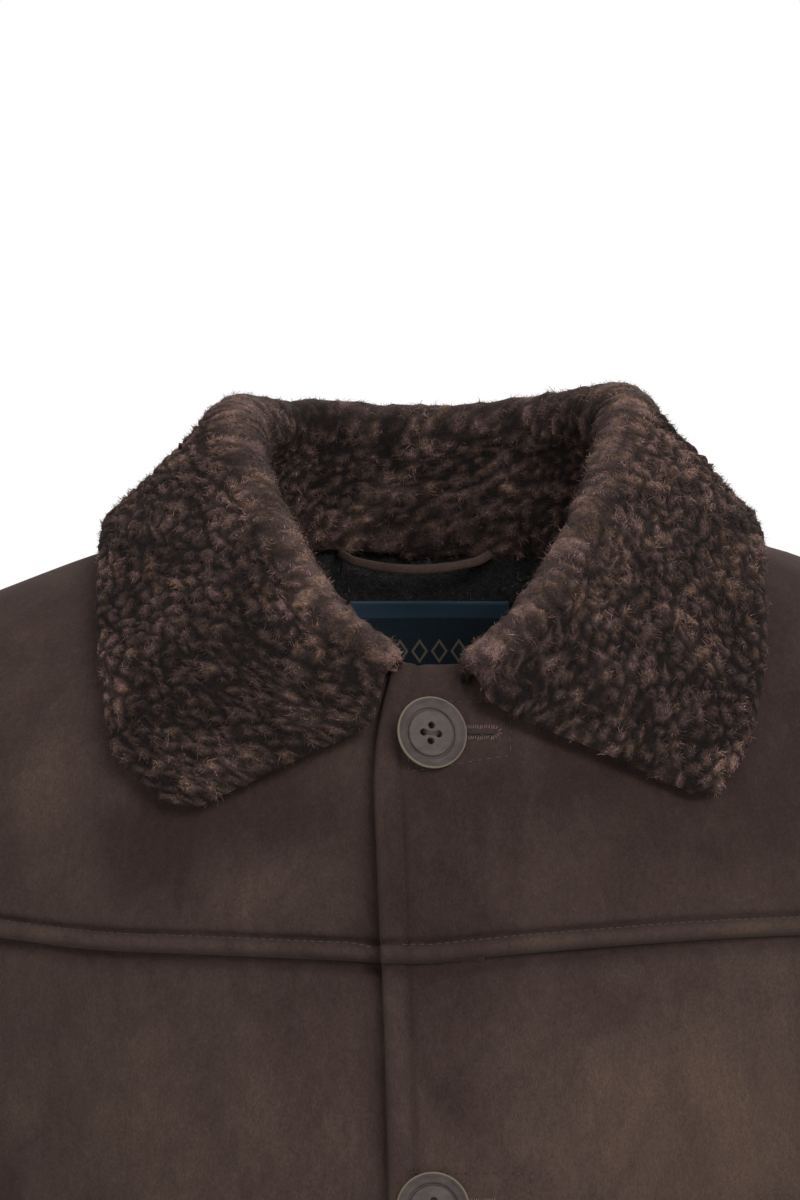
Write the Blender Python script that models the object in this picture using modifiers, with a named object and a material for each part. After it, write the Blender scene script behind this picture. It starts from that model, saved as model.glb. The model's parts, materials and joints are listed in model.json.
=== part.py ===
"""Faux suede jacket with a wide folded collar of faux shearling, filled out as worn.

Metres, +Z up.  The front faces -Y and the wearer's left side is +X.  The origin is the middle
of the neck base, level with the two neck points, where the wearer carries the jacket.

The cloth is laid on one smooth body form.  A spot on the form is a pair (turn, fall): the turn
round the body from the middle, positive to the wearer's left, and the fall from the shoulder
line, positive down the front and negative down the back.  The form is the outside of the cloth.
"""
import math

import bmesh
import bpy
from mathutils import Vector

# Cloth
WALL = 0.002
SEAM_GAP = 0.0003
PILE = 0.0095
LINING_WALL = 0.004
LABEL_WALL = 0.0008

# Garment
HEM_Z = -0.740
ARMPIT_Z = -0.245
NECK_HALF = 0.085
BACK_NECK_DROP = 0.010
FRONT_NECK_DROP = 0.062
SHOULDER_HALF = 0.230

# Shoulder line: a hyperbola that is level over the middle and runs to this slope
SHOULDER_SLOPE = 0.40
SHOULDER_ROUND = 0.020
# The fall over which the chest rounds up to the shoulder line
CAP = 0.160
# Exponent of the body's rounded sections, 2 for an ellipse
SECTION_POWER = 2.2

# Sections of the body form, by drop below the shoulder line
BODY = (
    # drop, half_width, front_depth, back_depth
    (0.000, 0.250, 0.108, 0.108),
    (0.080, 0.245, 0.116, 0.124),
    (0.140, 0.234, 0.128, 0.132),
    (0.200, 0.213, 0.138, 0.134),
    (0.280, 0.216, 0.146, 0.132),
    (0.400, 0.217, 0.148, 0.127),
    (0.550, 0.218, 0.144, 0.124),
    (0.800, 0.227, 0.142, 0.129),
)

# Front half of the armhole, from the armpit up to the yoke seam and on to the shoulder point
ARMHOLE = (
    # x, z
    (0.2005, -0.233),
    (0.1900, -0.208),
    (0.1870, -0.165),
    (0.1930, -0.118),
    (0.2110, -0.076),
)
ARMHOLE_STEPS = 10
ARMHOLE_STEPS_BELOW_YOKE = 5
SIDE_STEPS = 7
SHOULDER_STEPS = 5
# Cells of the neckline on one side, behind and before the neck point, up to the collar's end
BACK_NECK_STEPS = 4
FRONT_NECK_STEPS = 6
COLLAR_STEPS = BACK_NECK_STEPS + FRONT_NECK_STEPS
COLLAR_END_ANGLE = 165.0
# How the cells of the neckline crowd towards the neck point, behind and before it
BACK_CROWDING = 2
FRONT_CROWDING = 1.5

# Front edge of the lapping left front; the right front runs under it to a straight edge
LAP_EDGE = (
    # z, x
    (-0.062, -0.0150),
    (-0.080, -0.0195),
    (-0.100, -0.0218),
    (-0.130, -0.0210),
    (-0.174, -0.0190),
    (-0.740, -0.0190),
)
UNDER_EDGE_X = 0.020
LAP_LIFT = 0.0038
LAP_MARGIN = 0.004
LAP_FADE = 0.045

# Yoke seam: height at the front edge and how far it rises towards each armhole
YOKE_Z = -0.174
YOKE_RISE = {1: 0.010, -1: 0.004}
YOKE_RISE_REACH = 0.170
# Share of the seam over which it turns to meet the armhole, and of the edge to meet the neck
YOKE_END_SHARE = 0.4
YOKE_TOP_SHARE = 0.1

# Collar, a row for each station from the middle of the back to the front end
COLLAR = (
    # seam_angle, fold_x, fold_y, fold_z, roll, left_x, left_z, right_x, right_z
    (0.0, 0.000, 0.079, 0.0270, 0.0075, 0.000, -0.040, 0.000, -0.040),
    (32.0, 0.042, 0.069, 0.0285, 0.0075, 0.061, -0.038, 0.061, -0.038),
    (62.0, 0.070, 0.039, 0.0310, 0.0075, 0.106, -0.031, 0.105, -0.030),
    (88.0, 0.079, -0.001, 0.0325, 0.0075, 0.125, -0.0146, 0.124, -0.0142),
    (111.0, 0.073, -0.040, 0.0060, 0.0070, 0.128, -0.045, 0.127, -0.042),
    (132.0, 0.059, -0.075, -0.0210, 0.0060, 0.124, -0.076, 0.124, -0.072),
    (151.0, 0.0415, -0.0980, -0.0430, 0.0050, 0.117, -0.096, 0.116, -0.097),
    (165.0, 0.0225, -0.1060, -0.0570, 0.0042, 0.104, -0.112, 0.088, -0.116),
)
# How far the front end of each leaf swells past a straight line
END_BELLY = {1: 0.006, -1: 0.013}
BELLY_POWER = 6
EDGE_LIFT = 0.0045
COLLAR_GAP = 0.0008
COLLAR_ROWS = 13
# Shares of the collar's depth taken by the stand and by the roll over its fold
STAND_SHARE = 0.28
ROLL_SHARE = 0.24
# Share of the depth over which the pile turns level at the neck seam
LEVEL_RIM = 0.10

# Sleeves: sections across the arm, from the upper arm to the cuff
SLEEVE = (
    # x, y, z, half_wide, half_deep
    (0.2930, 0.002, -0.300, 0.0630, 0.0740),
    (0.3140, 0.000, -0.385, 0.0600, 0.0690),
    (0.3370, -0.007, -0.480, 0.0560, 0.0610),
    (0.3580, -0.024, -0.580, 0.0510, 0.0550),
    (0.3780, -0.046, -0.690, 0.0450, 0.0500),
)
SLEEVE_LEAN = 0.23
# How far the cap first follows the shoulder, and how the rings crowd towards it
SLEEVE_START = 0.012
SLEEVE_CROWDING = 1.15
SLEEVE_ROWS = 13
# The way the sleeve leaves the armpit, and the shares of the armhole's height over which it
# turns to leave square to the shoulder
SLEEVE_HANG = (0.42, 0.0, -0.91)
SLEEVE_TURN_FROM = 0.12
SLEEVE_TURN_OVER = 0.45

# Inside of the back, in the back's own columns and rows
LINING_INSET = 3
LINING_START = 8
# Neck label and hanger loop, laid in front of the lining
LABEL_X = (-0.032, 0.029)
LABEL_Z = (-0.0795, -0.0290)
LABEL_CLEAR = 0.0038
LABEL_CELLS = (4, 4)
LOOP_HALF = 0.033
LOOP_MIDDLE_X = -0.0055
LOOP_TOP_Z = -0.0155
LOOP_SAG = 0.0075
LOOP_RADIUS = 0.0017
LOOP_CLEAR = 0.0027
LOOP_POINTS = 15

# Buttons on the left front
BUTTON_X = 0.0004
BUTTON_Z = (-0.0865, -0.2675, -0.4485, -0.6295)
BUTTON_SEAT = 0.0001
BUTTON_PROFILE = (
    # radius, height above the cloth
    (0.0000, 0.0000),
    (0.0085, 0.0000),
    (0.0128, 0.0014),
    (0.0140, 0.0030),
    (0.0138, 0.0038),
    (0.0128, 0.0036),
    (0.0095, 0.0024),
    (0.0090, 0.0020),
    (0.0083, 0.0026),
    (0.0000, 0.0026),
)
BUTTON_STEPS = 28
HOLE_RADIUS = 0.00125
HOLE_REACH = 0.0031
HOLE_TURN = math.radians(-7.0)
HOLE_DEPTH = 0.012
HOLES = 4
HOLE_STEPS = 10

LEFT, RIGHT = 1, -1
FRONT, BACK = 1, -1
QUARTER = math.pi / 2
# Half of a seam's gap, as turn at the side seam and as fall at the shoulder seam
SIDE_SEAM = 0.0006
SHOULDER_SEAM = 0.0014
# Half of the yoke seam's gap, as a share of the armhole
YOKE_SEAM = 0.0009
# Steps for taking slopes of the form and of free surfaces
NORMAL_STEP = 0.004
SLOPE_STEP = 0.010
ARMHOLE_STEP = 0.002
LEVEL_ROUNDS = 8
# Points closer than this are one
SAME_POINT = 0.000001
SHARP_ANGLE = math.radians(50)

COLLECTION = "faux_suede_jacket"
COLOURS = {
    # name: (base colour, roughness, metallic)
    "faux suede": ((0.052, 0.034, 0.030, 1.0), 0.95, 0.0),
    "faux shearling": ((0.034, 0.022, 0.020, 1.0), 1.0, 0.0),
    "dark pile": ((0.012, 0.010, 0.010, 1.0), 1.0, 0.0),
    "woven label": ((0.010, 0.014, 0.021, 1.0), 0.7, 0.0),
    "horn-look plastic": ((0.110, 0.088, 0.085, 1.0), 0.35, 0.0),
}


def mix(a, b, share):
    return a + (b - a) * share


def smooth(share):
    share = min(1.0, max(0.0, share))
    return share * share * (3.0 - 2.0 * share)


def through(rows, at):
    """Smooth value at a place between rows of (place, value, ...), as a list of the values."""
    places = [row[0] for row in rows]
    last = len(rows) - 1
    at = min(places[last], max(places[0], at))
    k = max(i for i in range(last) if places[i] <= at or i == 0)
    span = places[k + 1] - places[k]
    s = (at - places[k]) / span

    def steep(i, column):
        return (rows[i + 1][column] - rows[i][column]) / (places[i + 1] - places[i])

    def slope(i, column):
        """Slope at a row, weighted to its nearer neighbour."""
        if i in (0, last):
            return steep(min(i, last - 1), column)
        before, after = places[i] - places[i - 1], places[i + 1] - places[i]
        return (steep(i - 1, column) * after + steep(i, column) * before) / (before + after)

    values = []
    for column in range(1, len(rows[0])):
        start, end = rows[k][column], rows[k + 1][column]
        leave, arrive = slope(k, column) * span, slope(k + 1, column) * span
        values.append(
            start * (2 * s**3 - 3 * s**2 + 1)
            + leave * (s**3 - 2 * s**2 + s)
            + end * (3 * s**2 - 2 * s**3)
            + arrive * (s**3 - s**2)
        )
    return values


def numbered(rows):
    """Rows with their own place, 0 to 1, put in front."""
    return [(i / (len(rows) - 1), *row) for i, row in enumerate(rows)]


# --- The body form ---------------------------------------------------------------------------


def shoulder_line(x):
    neck = math.hypot(SHOULDER_SLOPE * NECK_HALF, SHOULDER_ROUND)
    return neck - math.hypot(SHOULDER_SLOPE * x, SHOULDER_ROUND)


def drop_of(fall):
    fall = abs(fall)
    if fall < QUARTER:
        return CAP * (1.0 - math.cos(fall))
    return CAP * (1.0 + fall - QUARTER)


def fall_of(drop):
    drop = max(drop, 0.0)
    if drop < CAP:
        return math.acos(1.0 - drop / CAP)
    return QUARTER + (drop - CAP) / CAP


def rounded(value):
    """A sine or cosine raised to the power of the body's sections, with its sign kept."""
    return math.copysign(abs(value) ** (2.0 / SECTION_POWER), value)


def form(turn, fall):
    drop = drop_of(fall)
    half_width, front_depth, back_depth = through(BODY, drop)
    depth = front_depth if fall > 0.0 else back_depth
    x = half_width * rounded(math.sin(turn))
    y = -depth * rounded(math.cos(turn)) * math.sin(max(-QUARTER, min(QUARTER, fall)))
    return Vector((x, y, shoulder_line(x) - drop))


def outward(turn, fall):
    """Unit normal of the form, away from the body."""
    across = form(turn + NORMAL_STEP, fall) - form(turn - NORMAL_STEP, fall)
    down = form(turn, fall + NORMAL_STEP) - form(turn, fall - NORMAL_STEP)
    return down.cross(across).normalized()


def on_form(spot, lift=0.0):
    turn, fall = spot
    return form(turn, fall) + outward(turn, fall) * lift


def spot(x, z, sheet):
    """The spot at a width and a height on the front or the back sheet."""
    drop = shoulder_line(x) - z
    half_width = through(BODY, max(drop, 0.0))[0]
    share = max(-1.0, min(1.0, x / half_width))
    turn = math.asin(math.copysign(abs(share) ** (SECTION_POWER / 2.0), share))
    return Vector((turn, sheet * fall_of(drop)))


def level(turn, z, sheet):
    """The spot at a turn and a height."""
    fall = fall_of(-z)
    for _ in range(LEVEL_ROUNDS):
        x = through(BODY, drop_of(fall))[0] * rounded(math.sin(turn))
        fall = fall_of(shoulder_line(x) - z)
    return Vector((turn, sheet * fall))


# --- Borders of the pieces, each from 0 to 1 ----------------------------------------------------


def shoulder_seam(share, side, sheet):
    start = spot(side * NECK_HALF, 0.0, sheet)[0]
    end = spot(side * SHOULDER_HALF, shoulder_line(SHOULDER_HALF), sheet)[0]
    return Vector((mix(start, end, share), sheet * SHOULDER_SEAM))


def armhole(share, side, sheet):
    """From the armpit, 0, to the shoulder point, 1."""
    rows = [level(QUARTER - SIDE_SEAM, ARMPIT_Z, FRONT)]
    rows += [spot(x, z, FRONT) for x, z in ARMHOLE]
    rows.append(shoulder_seam(1.0, LEFT, FRONT))
    turn, fall = through(numbered([tuple(row) for row in rows]), share)
    return Vector((side * turn, sheet * fall))


def side_seam(share, side, sheet):
    z = mix(HEM_Z, ARMPIT_Z, share)
    return level(side * (QUARTER - SIDE_SEAM), z, sheet)


YOKE_SHARE = ARMHOLE_STEPS_BELOW_YOKE / ARMHOLE_STEPS
SIDE_SHARE = SIDE_STEPS / (SIDE_STEPS + ARMHOLE_STEPS_BELOW_YOKE)
BACK_SIDE_SHARE = SIDE_STEPS / (SIDE_STEPS + ARMHOLE_STEPS)
FRONT_COLUMNS = 1 + FRONT_NECK_STEPS + SHOULDER_STEPS
BACK_COLUMNS = 2 * (BACK_NECK_STEPS + SHOULDER_STEPS)
BACK_ROWS = SIDE_STEPS + ARMHOLE_STEPS


def below_yoke(share, side):
    """The outer border of a front: its side seam, then the armhole up to the yoke."""
    if share <= SIDE_SHARE:
        return side_seam(share / SIDE_SHARE, side, FRONT)
    rest = (share - SIDE_SHARE) / (1.0 - SIDE_SHARE)
    return armhole(rest * (YOKE_SHARE - YOKE_SEAM), side, FRONT)


def back_side(share, side):
    """The outer border of the back: its side seam, then the whole armhole."""
    if share <= BACK_SIDE_SHARE:
        return side_seam(share / BACK_SIDE_SHARE, side, BACK)
    return armhole((share - BACK_SIDE_SHARE) / (1.0 - BACK_SIDE_SHARE), side, BACK)


def edge_x(z, side):
    if side == RIGHT:
        return UNDER_EDGE_X
    rows = sorted((height, x) for height, x in LAP_EDGE)
    return through(rows, z)[0]


def yoke_z(x, side):
    reach = max(0.0, min(1.0, side * x / YOKE_RISE_REACH))
    return YOKE_Z + YOKE_RISE[side] * (1.0 - (1.0 - reach) ** 2)


def yoke_seam(share, side, shift):
    """From the front edge to the armhole; the shift sets half a seam gap up or down."""
    start = spot(edge_x(YOKE_Z, side), YOKE_Z + shift, FRONT)
    end = armhole(YOKE_SHARE, side, FRONT)
    turn = mix(start[0], end[0], share)
    middle = spot(form(turn, end[1])[0], YOKE_Z, FRONT)
    x = form(turn, middle[1])[0]
    end_z = form(*end)[2]
    z = mix(yoke_z(x, side), end_z, smooth(1.0 - (1.0 - share) / YOKE_END_SHARE)) + shift
    return level(turn, z, FRONT)


def neck_angle(step):
    """Angle from the middle of the back, in degrees, at a step of the neckline."""
    ahead = step / BACK_NECK_STEPS - 1.0
    if ahead < 0.0:
        return 90.0 * (1.0 - abs(ahead) ** BACK_CROWDING)
    ahead = (step - BACK_NECK_STEPS) / FRONT_NECK_STEPS
    return 90.0 + (COLLAR_END_ANGLE - 90.0) * ahead**FRONT_CROWDING


def neckline(angle, side, seam=SHOULDER_SEAM):
    """Spot of the neckline at an angle from the middle of the back."""
    sheet, drop = (BACK, BACK_NECK_DROP) if angle < 90.0 else (FRONT, FRONT_NECK_DROP)
    x = side * NECK_HALF * math.sin(math.radians(angle))
    turn, fall = spot(x, -drop * abs(math.cos(math.radians(angle))), sheet)
    return Vector((turn, sheet * max(abs(fall), seam)))


def front_top(share, side):
    """Top of a front yoke: its neckline from the front edge, then its shoulder seam."""
    step = share * FRONT_COLUMNS - 1.0
    if step > FRONT_NECK_STEPS:
        return shoulder_seam((step - FRONT_NECK_STEPS) / SHOULDER_STEPS, side, FRONT)
    if step > 0.0:
        return neckline(neck_angle(COLLAR_STEPS - step), side)
    edge = math.degrees(math.asin(edge_x(-FRONT_NECK_DROP, side) * side / NECK_HALF))
    return neckline(mix(COLLAR_END_ANGLE, 180.0 - edge, -step), side)


def back_top(share):
    """Top of the back from right to left: shoulder seam, neckline, shoulder seam."""
    step = abs(share - 0.5) * BACK_COLUMNS
    side = LEFT if share > 0.5 else RIGHT
    if step > BACK_NECK_STEPS:
        return shoulder_seam((step - BACK_NECK_STEPS) / SHOULDER_STEPS, side, BACK)
    return neckline(neck_angle(step), side)


def patch(bottom, top, inner, outer, top_reach=1):
    """Spots inside four borders, blended so that each border is kept.

    The shape of the top border dies away downwards, faster with a higher reach.
    """
    low, high = (bottom(0.0), bottom(1.0)), (top(0.0), top(1.0))

    def at(across, up):
        place = mix(inner(up), outer(up), across)
        place += (bottom(across) - mix(*low, across)) * (1.0 - up)
        return place + (top(across) - mix(*high, across)) * up**top_reach

    return at


# --- Making the walls ---------------------------------------------------------------------------


def material(name):
    made = bpy.data.materials.get(name)
    if made:
        return made
    colour, roughness, metallic = COLOURS[name]
    made = bpy.data.materials.new(name)
    made.use_nodes = True
    shader = made.node_tree.nodes["Principled BSDF"]
    shader.inputs["Base Color"].default_value = colour
    shader.inputs["Roughness"].default_value = roughness
    shader.inputs["Metallic"].default_value = metallic
    made.diffuse_color = colour
    return made


def add_object(name, data, finish):
    made = bpy.data.objects.new(name, data)
    made.data.materials.append(material(finish))
    bpy.data.collections[COLLECTION].objects.link(made)
    return made


def wall(name, finish, cells, place, thickness, tube=False):
    """A cloth wall on a grid of cells.  place(across, up) gives a point and its normal; the
    wall is set in from there by the thickness, and its rim is closed."""
    mesh = bmesh.new()
    bmesh.ops.create_grid(mesh, x_segments=cells[0], y_segments=cells[1], size=0.5)
    ends = {0.0: [], 1.0: []}
    laid_down = {}
    for vert in mesh.verts:
        across, up = vert.co.x + 0.5, round(vert.co.y + 0.5, 6)
        laid_down[vert] = place(across, up)
        vert.co = laid_down[vert][0]
        if up in ends:
            ends[up].append(vert)
    split = "SHORT_EDGE" if tube else "FIXED"
    bmesh.ops.triangulate(mesh, faces=mesh.faces, quad_method=split)
    copy = bmesh.ops.duplicate(mesh, geom=mesh.verts[:] + mesh.edges[:] + mesh.faces[:])
    inner_faces = [item for item in copy["geom"] if isinstance(item, bmesh.types.BMFace)]
    for vert, (point, normal) in laid_down.items():
        copy["vert_map"][vert].co = point - normal * thickness
    for verts in ends.values():
        verts += [copy["vert_map"][vert] for vert in verts]
    bmesh.ops.reverse_faces(mesh, faces=inner_faces)
    if tube:
        bmesh.ops.remove_doubles(mesh, verts=mesh.verts, dist=SAME_POINT)
        for verts in ends.values():
            kept = {vert for vert in verts if vert.is_valid}
            rim = [e for e in mesh.edges if e.is_boundary and kept.issuperset(e.verts)]
            bmesh.ops.bridge_loops(mesh, edges=rim)
    else:
        bmesh.ops.bridge_loops(mesh, edges=[e for e in mesh.edges if e.is_boundary])
    bmesh.ops.recalc_face_normals(mesh, faces=mesh.faces)
    if mesh.calc_volume(signed=True) < 0.0:
        bmesh.ops.reverse_faces(mesh, faces=mesh.faces)
    data = bpy.data.meshes.new(name)
    mesh.to_mesh(data)
    mesh.free()
    data.shade_smooth()
    data.set_sharp_from_angle(angle=SHARP_ANGLE)
    return add_object(name, data, finish)


def lap_lift(x, side):
    """How far the left front stands off the form where it laps over the right."""
    if side == RIGHT:
        return 0.0
    return LAP_LIFT * (1.0 - smooth((x - UNDER_EDGE_X - LAP_MARGIN) / LAP_FADE))


def laid(at, lift=None):
    """Place function for a piece laid on the form."""

    def place(across, up):
        here = at(across, up)
        point = form(*here)
        height = lift(point.x) if lift else 0.0
        normal = outward(*here)
        return point + normal * height, normal

    return place


# --- The pieces -----------------------------------------------------------------------------------


def make_back():
    return wall("back", "faux suede", (BACK_COLUMNS, BACK_ROWS), laid(back_patch()), WALL)


def make_front(name, side):
    def hem(share):
        start = spot(edge_x(HEM_Z, side), HEM_Z, FRONT)[0]
        return level(mix(start, side * (QUARTER - SIDE_SEAM), share), HEM_Z, FRONT)

    def edge(share):
        z = mix(HEM_Z, YOKE_Z - SEAM_GAP / 2, share)
        return spot(edge_x(z, side), z, FRONT)

    at = patch(
        hem,
        lambda s: yoke_seam(s, side, -SEAM_GAP / 2),
        edge,
        lambda s: below_yoke(s, side),
    )
    rows = SIDE_STEPS + ARMHOLE_STEPS_BELOW_YOKE
    cells = (FRONT_COLUMNS, rows)
    return wall(name, "faux suede", cells, laid(at, lambda x: lap_lift(x, side)), WALL)


def make_yoke(name, side):
    def edge(share):
        z = mix(YOKE_Z + SEAM_GAP / 2, -FRONT_NECK_DROP, share)
        corner = front_top(0.0, side)
        start = spot(edge_x(z, side), z, FRONT)
        return mix(start, corner, smooth(1.0 - (1.0 - share) / YOKE_TOP_SHARE))

    at = patch(
        lambda s: yoke_seam(s, side, SEAM_GAP / 2),
        lambda s: front_top(s, side),
        edge,
        lambda s: armhole(mix(YOKE_SHARE + YOKE_SEAM, 1.0, s), side, FRONT),
    )
    rows = ARMHOLE_STEPS - ARMHOLE_STEPS_BELOW_YOKE
    cells = (FRONT_COLUMNS, rows)
    return wall(name, "faux suede", cells, laid(at, lambda x: lap_lift(x, side)), WALL)


def sleeve_ring(share, row):
    """Point of a left sleeve section; share 0 is under the arm, 0.25 in front, 0.5 outside."""
    x, y, z, half_wide, half_deep = row
    angle = math.tau * share
    across = Vector((1.0, 0.0, SLEEVE_LEAN)).normalized() * -math.cos(angle) * half_wide
    deep = Vector((0.0, -1.0, 0.0)) * math.sin(angle) * half_deep
    return Vector((x, y, z)) + across + deep


def armhole_ring(share):
    """Point of the left armhole and the way the sleeve leaves it."""
    sheet = FRONT if share < 0.5 else BACK
    up = 1.0 - abs(1.0 - 2.0 * share)
    here = armhole(up, LEFT, sheet)
    above = armhole(min(up + ARMHOLE_STEP, 1.0), LEFT, sheet)
    below = armhole(max(up - ARMHOLE_STEP, 0.0), LEFT, sheet)
    square = ((form(*above) - form(*below)) * sheet).cross(outward(*here)).normalized()
    turned = smooth((up - SLEEVE_TURN_FROM) / SLEEVE_TURN_OVER)
    leave = mix(Vector(SLEEVE_HANG), square, turned).normalized()
    return form(*here), leave


def sleeve_place(share, down, side):
    """Point of a sleeve; down runs from the armhole, 0, to the cuff, 1."""
    start, leave = armhole_ring(share)
    rings = [start + leave * SEAM_GAP, start + leave * SLEEVE_START]
    rings += [sleeve_ring(share, row) for row in SLEEVE]
    rows, length = [], 0.0
    for i, ring in enumerate(rings):
        length += (ring - rings[i - 1]).length if i else 0.0
        rows.append((length, *ring))
    x, y, z = through(rows, length * down**SLEEVE_CROWDING)
    return Vector((x * side, y, z))


def surface(at):
    """Place function for a surface given as points; its normal comes from its own slopes."""

    def place(across, up):
        low, high = max(up - SLOPE_STEP, 0.0), min(up + SLOPE_STEP, 1.0)
        sideways = at(across + SLOPE_STEP, up) - at(across - SLOPE_STEP, up)
        upward = at(across, high) - at(across, low)
        return at(across, up), sideways.cross(upward).normalized()

    return place


def make_sleeve(name, side):
    def at(across, up):
        return sleeve_place((across * side) % 1.0, 1.0 - up, side)

    return wall(name, "faux suede", (2 * ARMHOLE_STEPS, SLEEVE_ROWS), surface(at), WALL, tube=True)


def collar_section(angle, side):
    """Fold centre, roll radius and edge spot of the collar at an angle of the neckline."""
    rows = []
    for row in COLLAR:
        edge = row[5:7] if side == LEFT else row[7:9]
        edge_spot = spot(*edge, BACK if row[0] < 90.0 else FRONT)
        rows.append((*row[:5], *edge_spot))
    mirrored = [(-at, -x, y, z, roll, -turn, fall) for at, x, y, z, roll, turn, fall in rows[2:0:-1]]
    fold_x, fold_y, fold_z, roll, turn, fall = through(mirrored + rows, angle)
    return Vector((side * fold_x, fold_y, fold_z)), roll, Vector((side * turn, fall))


def collar_at(along, up):
    """Point of the collar's own surface; along is -1 to 1, from the right front end to the left."""
    side = RIGHT if along < 0.0 else LEFT
    angle = neck_angle(abs(along) * COLLAR_STEPS)
    fold, roll, edge_spot = collar_section(angle, side)
    here = neckline(angle, side, 0.0)
    lift = lap_lift(form(*here).x, side) if angle > 90.0 else 0.0
    seam = on_form(here, lift) + Vector((0.0, 0.0, COLLAR_GAP))
    fold += outward(*here) * lift
    edge = on_form(edge_spot, EDGE_LIFT)
    before, after = (collar_section(angle + turn, side)[0] for turn in (-1.0, 1.0))
    fold_line = (after - before).normalized()
    rise = fold - (seam + edge) / 2
    rise = (rise - fold_line * rise.dot(fold_line)).normalized()
    out = rise.cross(fold_line) * side
    if up < STAND_SHARE:
        s = up / STAND_SHARE
        start, end = seam, fold - out * roll
        leave, arrive = (end - start), rise * (end - start).length
    elif up < STAND_SHARE + ROLL_SHARE:
        turn = math.pi * (up - STAND_SHARE) / ROLL_SHARE
        return fold + (rise * math.sin(turn) - out * math.cos(turn)) * roll
    else:
        s = (up - STAND_SHARE - ROLL_SHARE) / (1.0 - STAND_SHARE - ROLL_SHARE)
        start, end = fold + out * roll, edge
        leave = -rise * (end - start).length
        arrive = end - start
        ahead = outward(*edge_spot).cross(end - start).normalized() * -side
        belly = ahead * END_BELLY[side] * 4.0 * s * (1.0 - s) * along**BELLY_POWER
        start, end = start + belly, end + belly
    return (
        start * (2 * s**3 - 3 * s**2 + 1)
        + leave * (s**3 - 2 * s**2 + s)
        + end * (3 * s**2 - 2 * s**3)
        + arrive * (s**3 - s**2)
    )


def collar_layer(lift):
    """Place function for a layer of the collar, lifted to the pile's side of its own surface."""
    base = surface(lambda across, up: collar_at(2.0 * across - 1.0, up))

    def place(across, up):
        inside = min(1.0 - SLOPE_STEP, max(SLOPE_STEP, across))
        normal = base(inside, up)[1]
        flat = Vector((normal.x, normal.y, max(0.0, normal.z))).normalized()
        normal = mix(flat, normal, smooth(up / LEVEL_RIM)).normalized()
        return collar_at(2.0 * across - 1.0, up) + normal * lift, normal

    return place


def make_collar():
    cells = (2 * COLLAR_STEPS, COLLAR_ROWS)
    wall("collar", "faux shearling", cells, collar_layer(SEAM_GAP + PILE), PILE)
    wall("undercollar", "faux suede", cells, collar_layer(0.0), WALL)


def back_patch():
    return patch(
        lambda s: level(mix(-1, 1, s) * (QUARTER - SIDE_SEAM), HEM_Z, BACK),
        back_top,
        lambda s: back_side(s, RIGHT),
        lambda s: back_side(s, LEFT),
        top_reach=3,
    )


def inside_back(depth):
    """Place function on the back's own cells, that far inside its outer face."""
    return laid(back_patch(), lambda x: -depth)


def make_lining():
    whole = inside_back(WALL + SEAM_GAP)
    cells = BACK_COLUMNS - 2 * LINING_INSET, BACK_ROWS - LINING_START

    def place(across, up):
        column = LINING_INSET + across * cells[0]
        return whole(column / BACK_COLUMNS, (LINING_START + up * cells[1]) / BACK_ROWS)

    wall("back_lining", "dark pile", cells, place, LINING_WALL)


def make_label():
    depth = WALL + LINING_WALL + SEAM_GAP + LABEL_CLEAR

    def place(across, up):
        here = spot(mix(*LABEL_X, across), mix(*LABEL_Z, up), BACK)
        return on_form(here, -depth), outward(*here)

    wall("neck_label", "woven label", LABEL_CELLS, place, LABEL_WALL)


def loop_end_y(side):
    """Just in front of the lining's top edge, where an end of the loop hangs."""
    x = LOOP_MIDDLE_X + LOOP_HALF * side
    angle = math.degrees(math.asin(abs(x) / NECK_HALF))
    edge = on_form(neckline(angle, side), -(WALL + SEAM_GAP + LINING_WALL))
    return edge.y - LOOP_RADIUS - LOOP_CLEAR


def make_loop():
    curve = bpy.data.curves.new("hanger_loop", "CURVE")
    curve.dimensions = "3D"
    curve.bevel_depth = LOOP_RADIUS
    curve.bevel_resolution = 2
    curve.use_fill_caps = True
    spline = curve.splines.new("POLY")
    spline.points.add(LOOP_POINTS - 1)
    for i, point in enumerate(spline.points):
        share = 2.0 * i / (LOOP_POINTS - 1) - 1.0
        sag = LOOP_SAG * (1.0 - share**2)
        y = mix(loop_end_y(LEFT), loop_end_y(RIGHT), (1.0 - share) / 2)
        point.co = (LOOP_MIDDLE_X + LOOP_HALF * share, y, LOOP_TOP_Z - sag, 1.0)
    return add_object("hanger_loop", curve, "faux suede")


def make_button(name, z):
    """A four-hole button: a turned profile on a screw, with its holes cut through."""
    mesh = bpy.data.meshes.new(name)
    points = [(radius, 0.0, height) for radius, height in reversed(BUTTON_PROFILE)]
    mesh.from_pydata(points, [(i, i + 1) for i in range(len(points) - 1)], [])
    button = add_object(name, mesh, "horn-look plastic")
    screw = button.modifiers.new("turned", "SCREW")
    screw.steps = BUTTON_STEPS
    screw.render_steps = BUTTON_STEPS
    screw.use_merge_vertices = True
    screw.merge_threshold = SAME_POINT
    holes = bpy.data.objects.new(name + "_holes", hole_mesh(name))
    bpy.data.collections["cutters"].objects.link(holes)
    holes.display_type = "WIRE"
    holes.hide_render = True
    cut = button.modifiers.new("holes", "BOOLEAN")
    cut.operation = "DIFFERENCE"
    cut.object = holes
    here = spot(BUTTON_X, z, FRONT)
    normal = outward(*here)
    turn = normal.to_track_quat("Z", "Y")
    lift = lap_lift(BUTTON_X, LEFT) + BUTTON_SEAT
    for piece in (button, holes):
        piece.location = on_form(here, lift)
        piece.rotation_mode = "QUATERNION"
        piece.rotation_quaternion = turn
    return button


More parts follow.
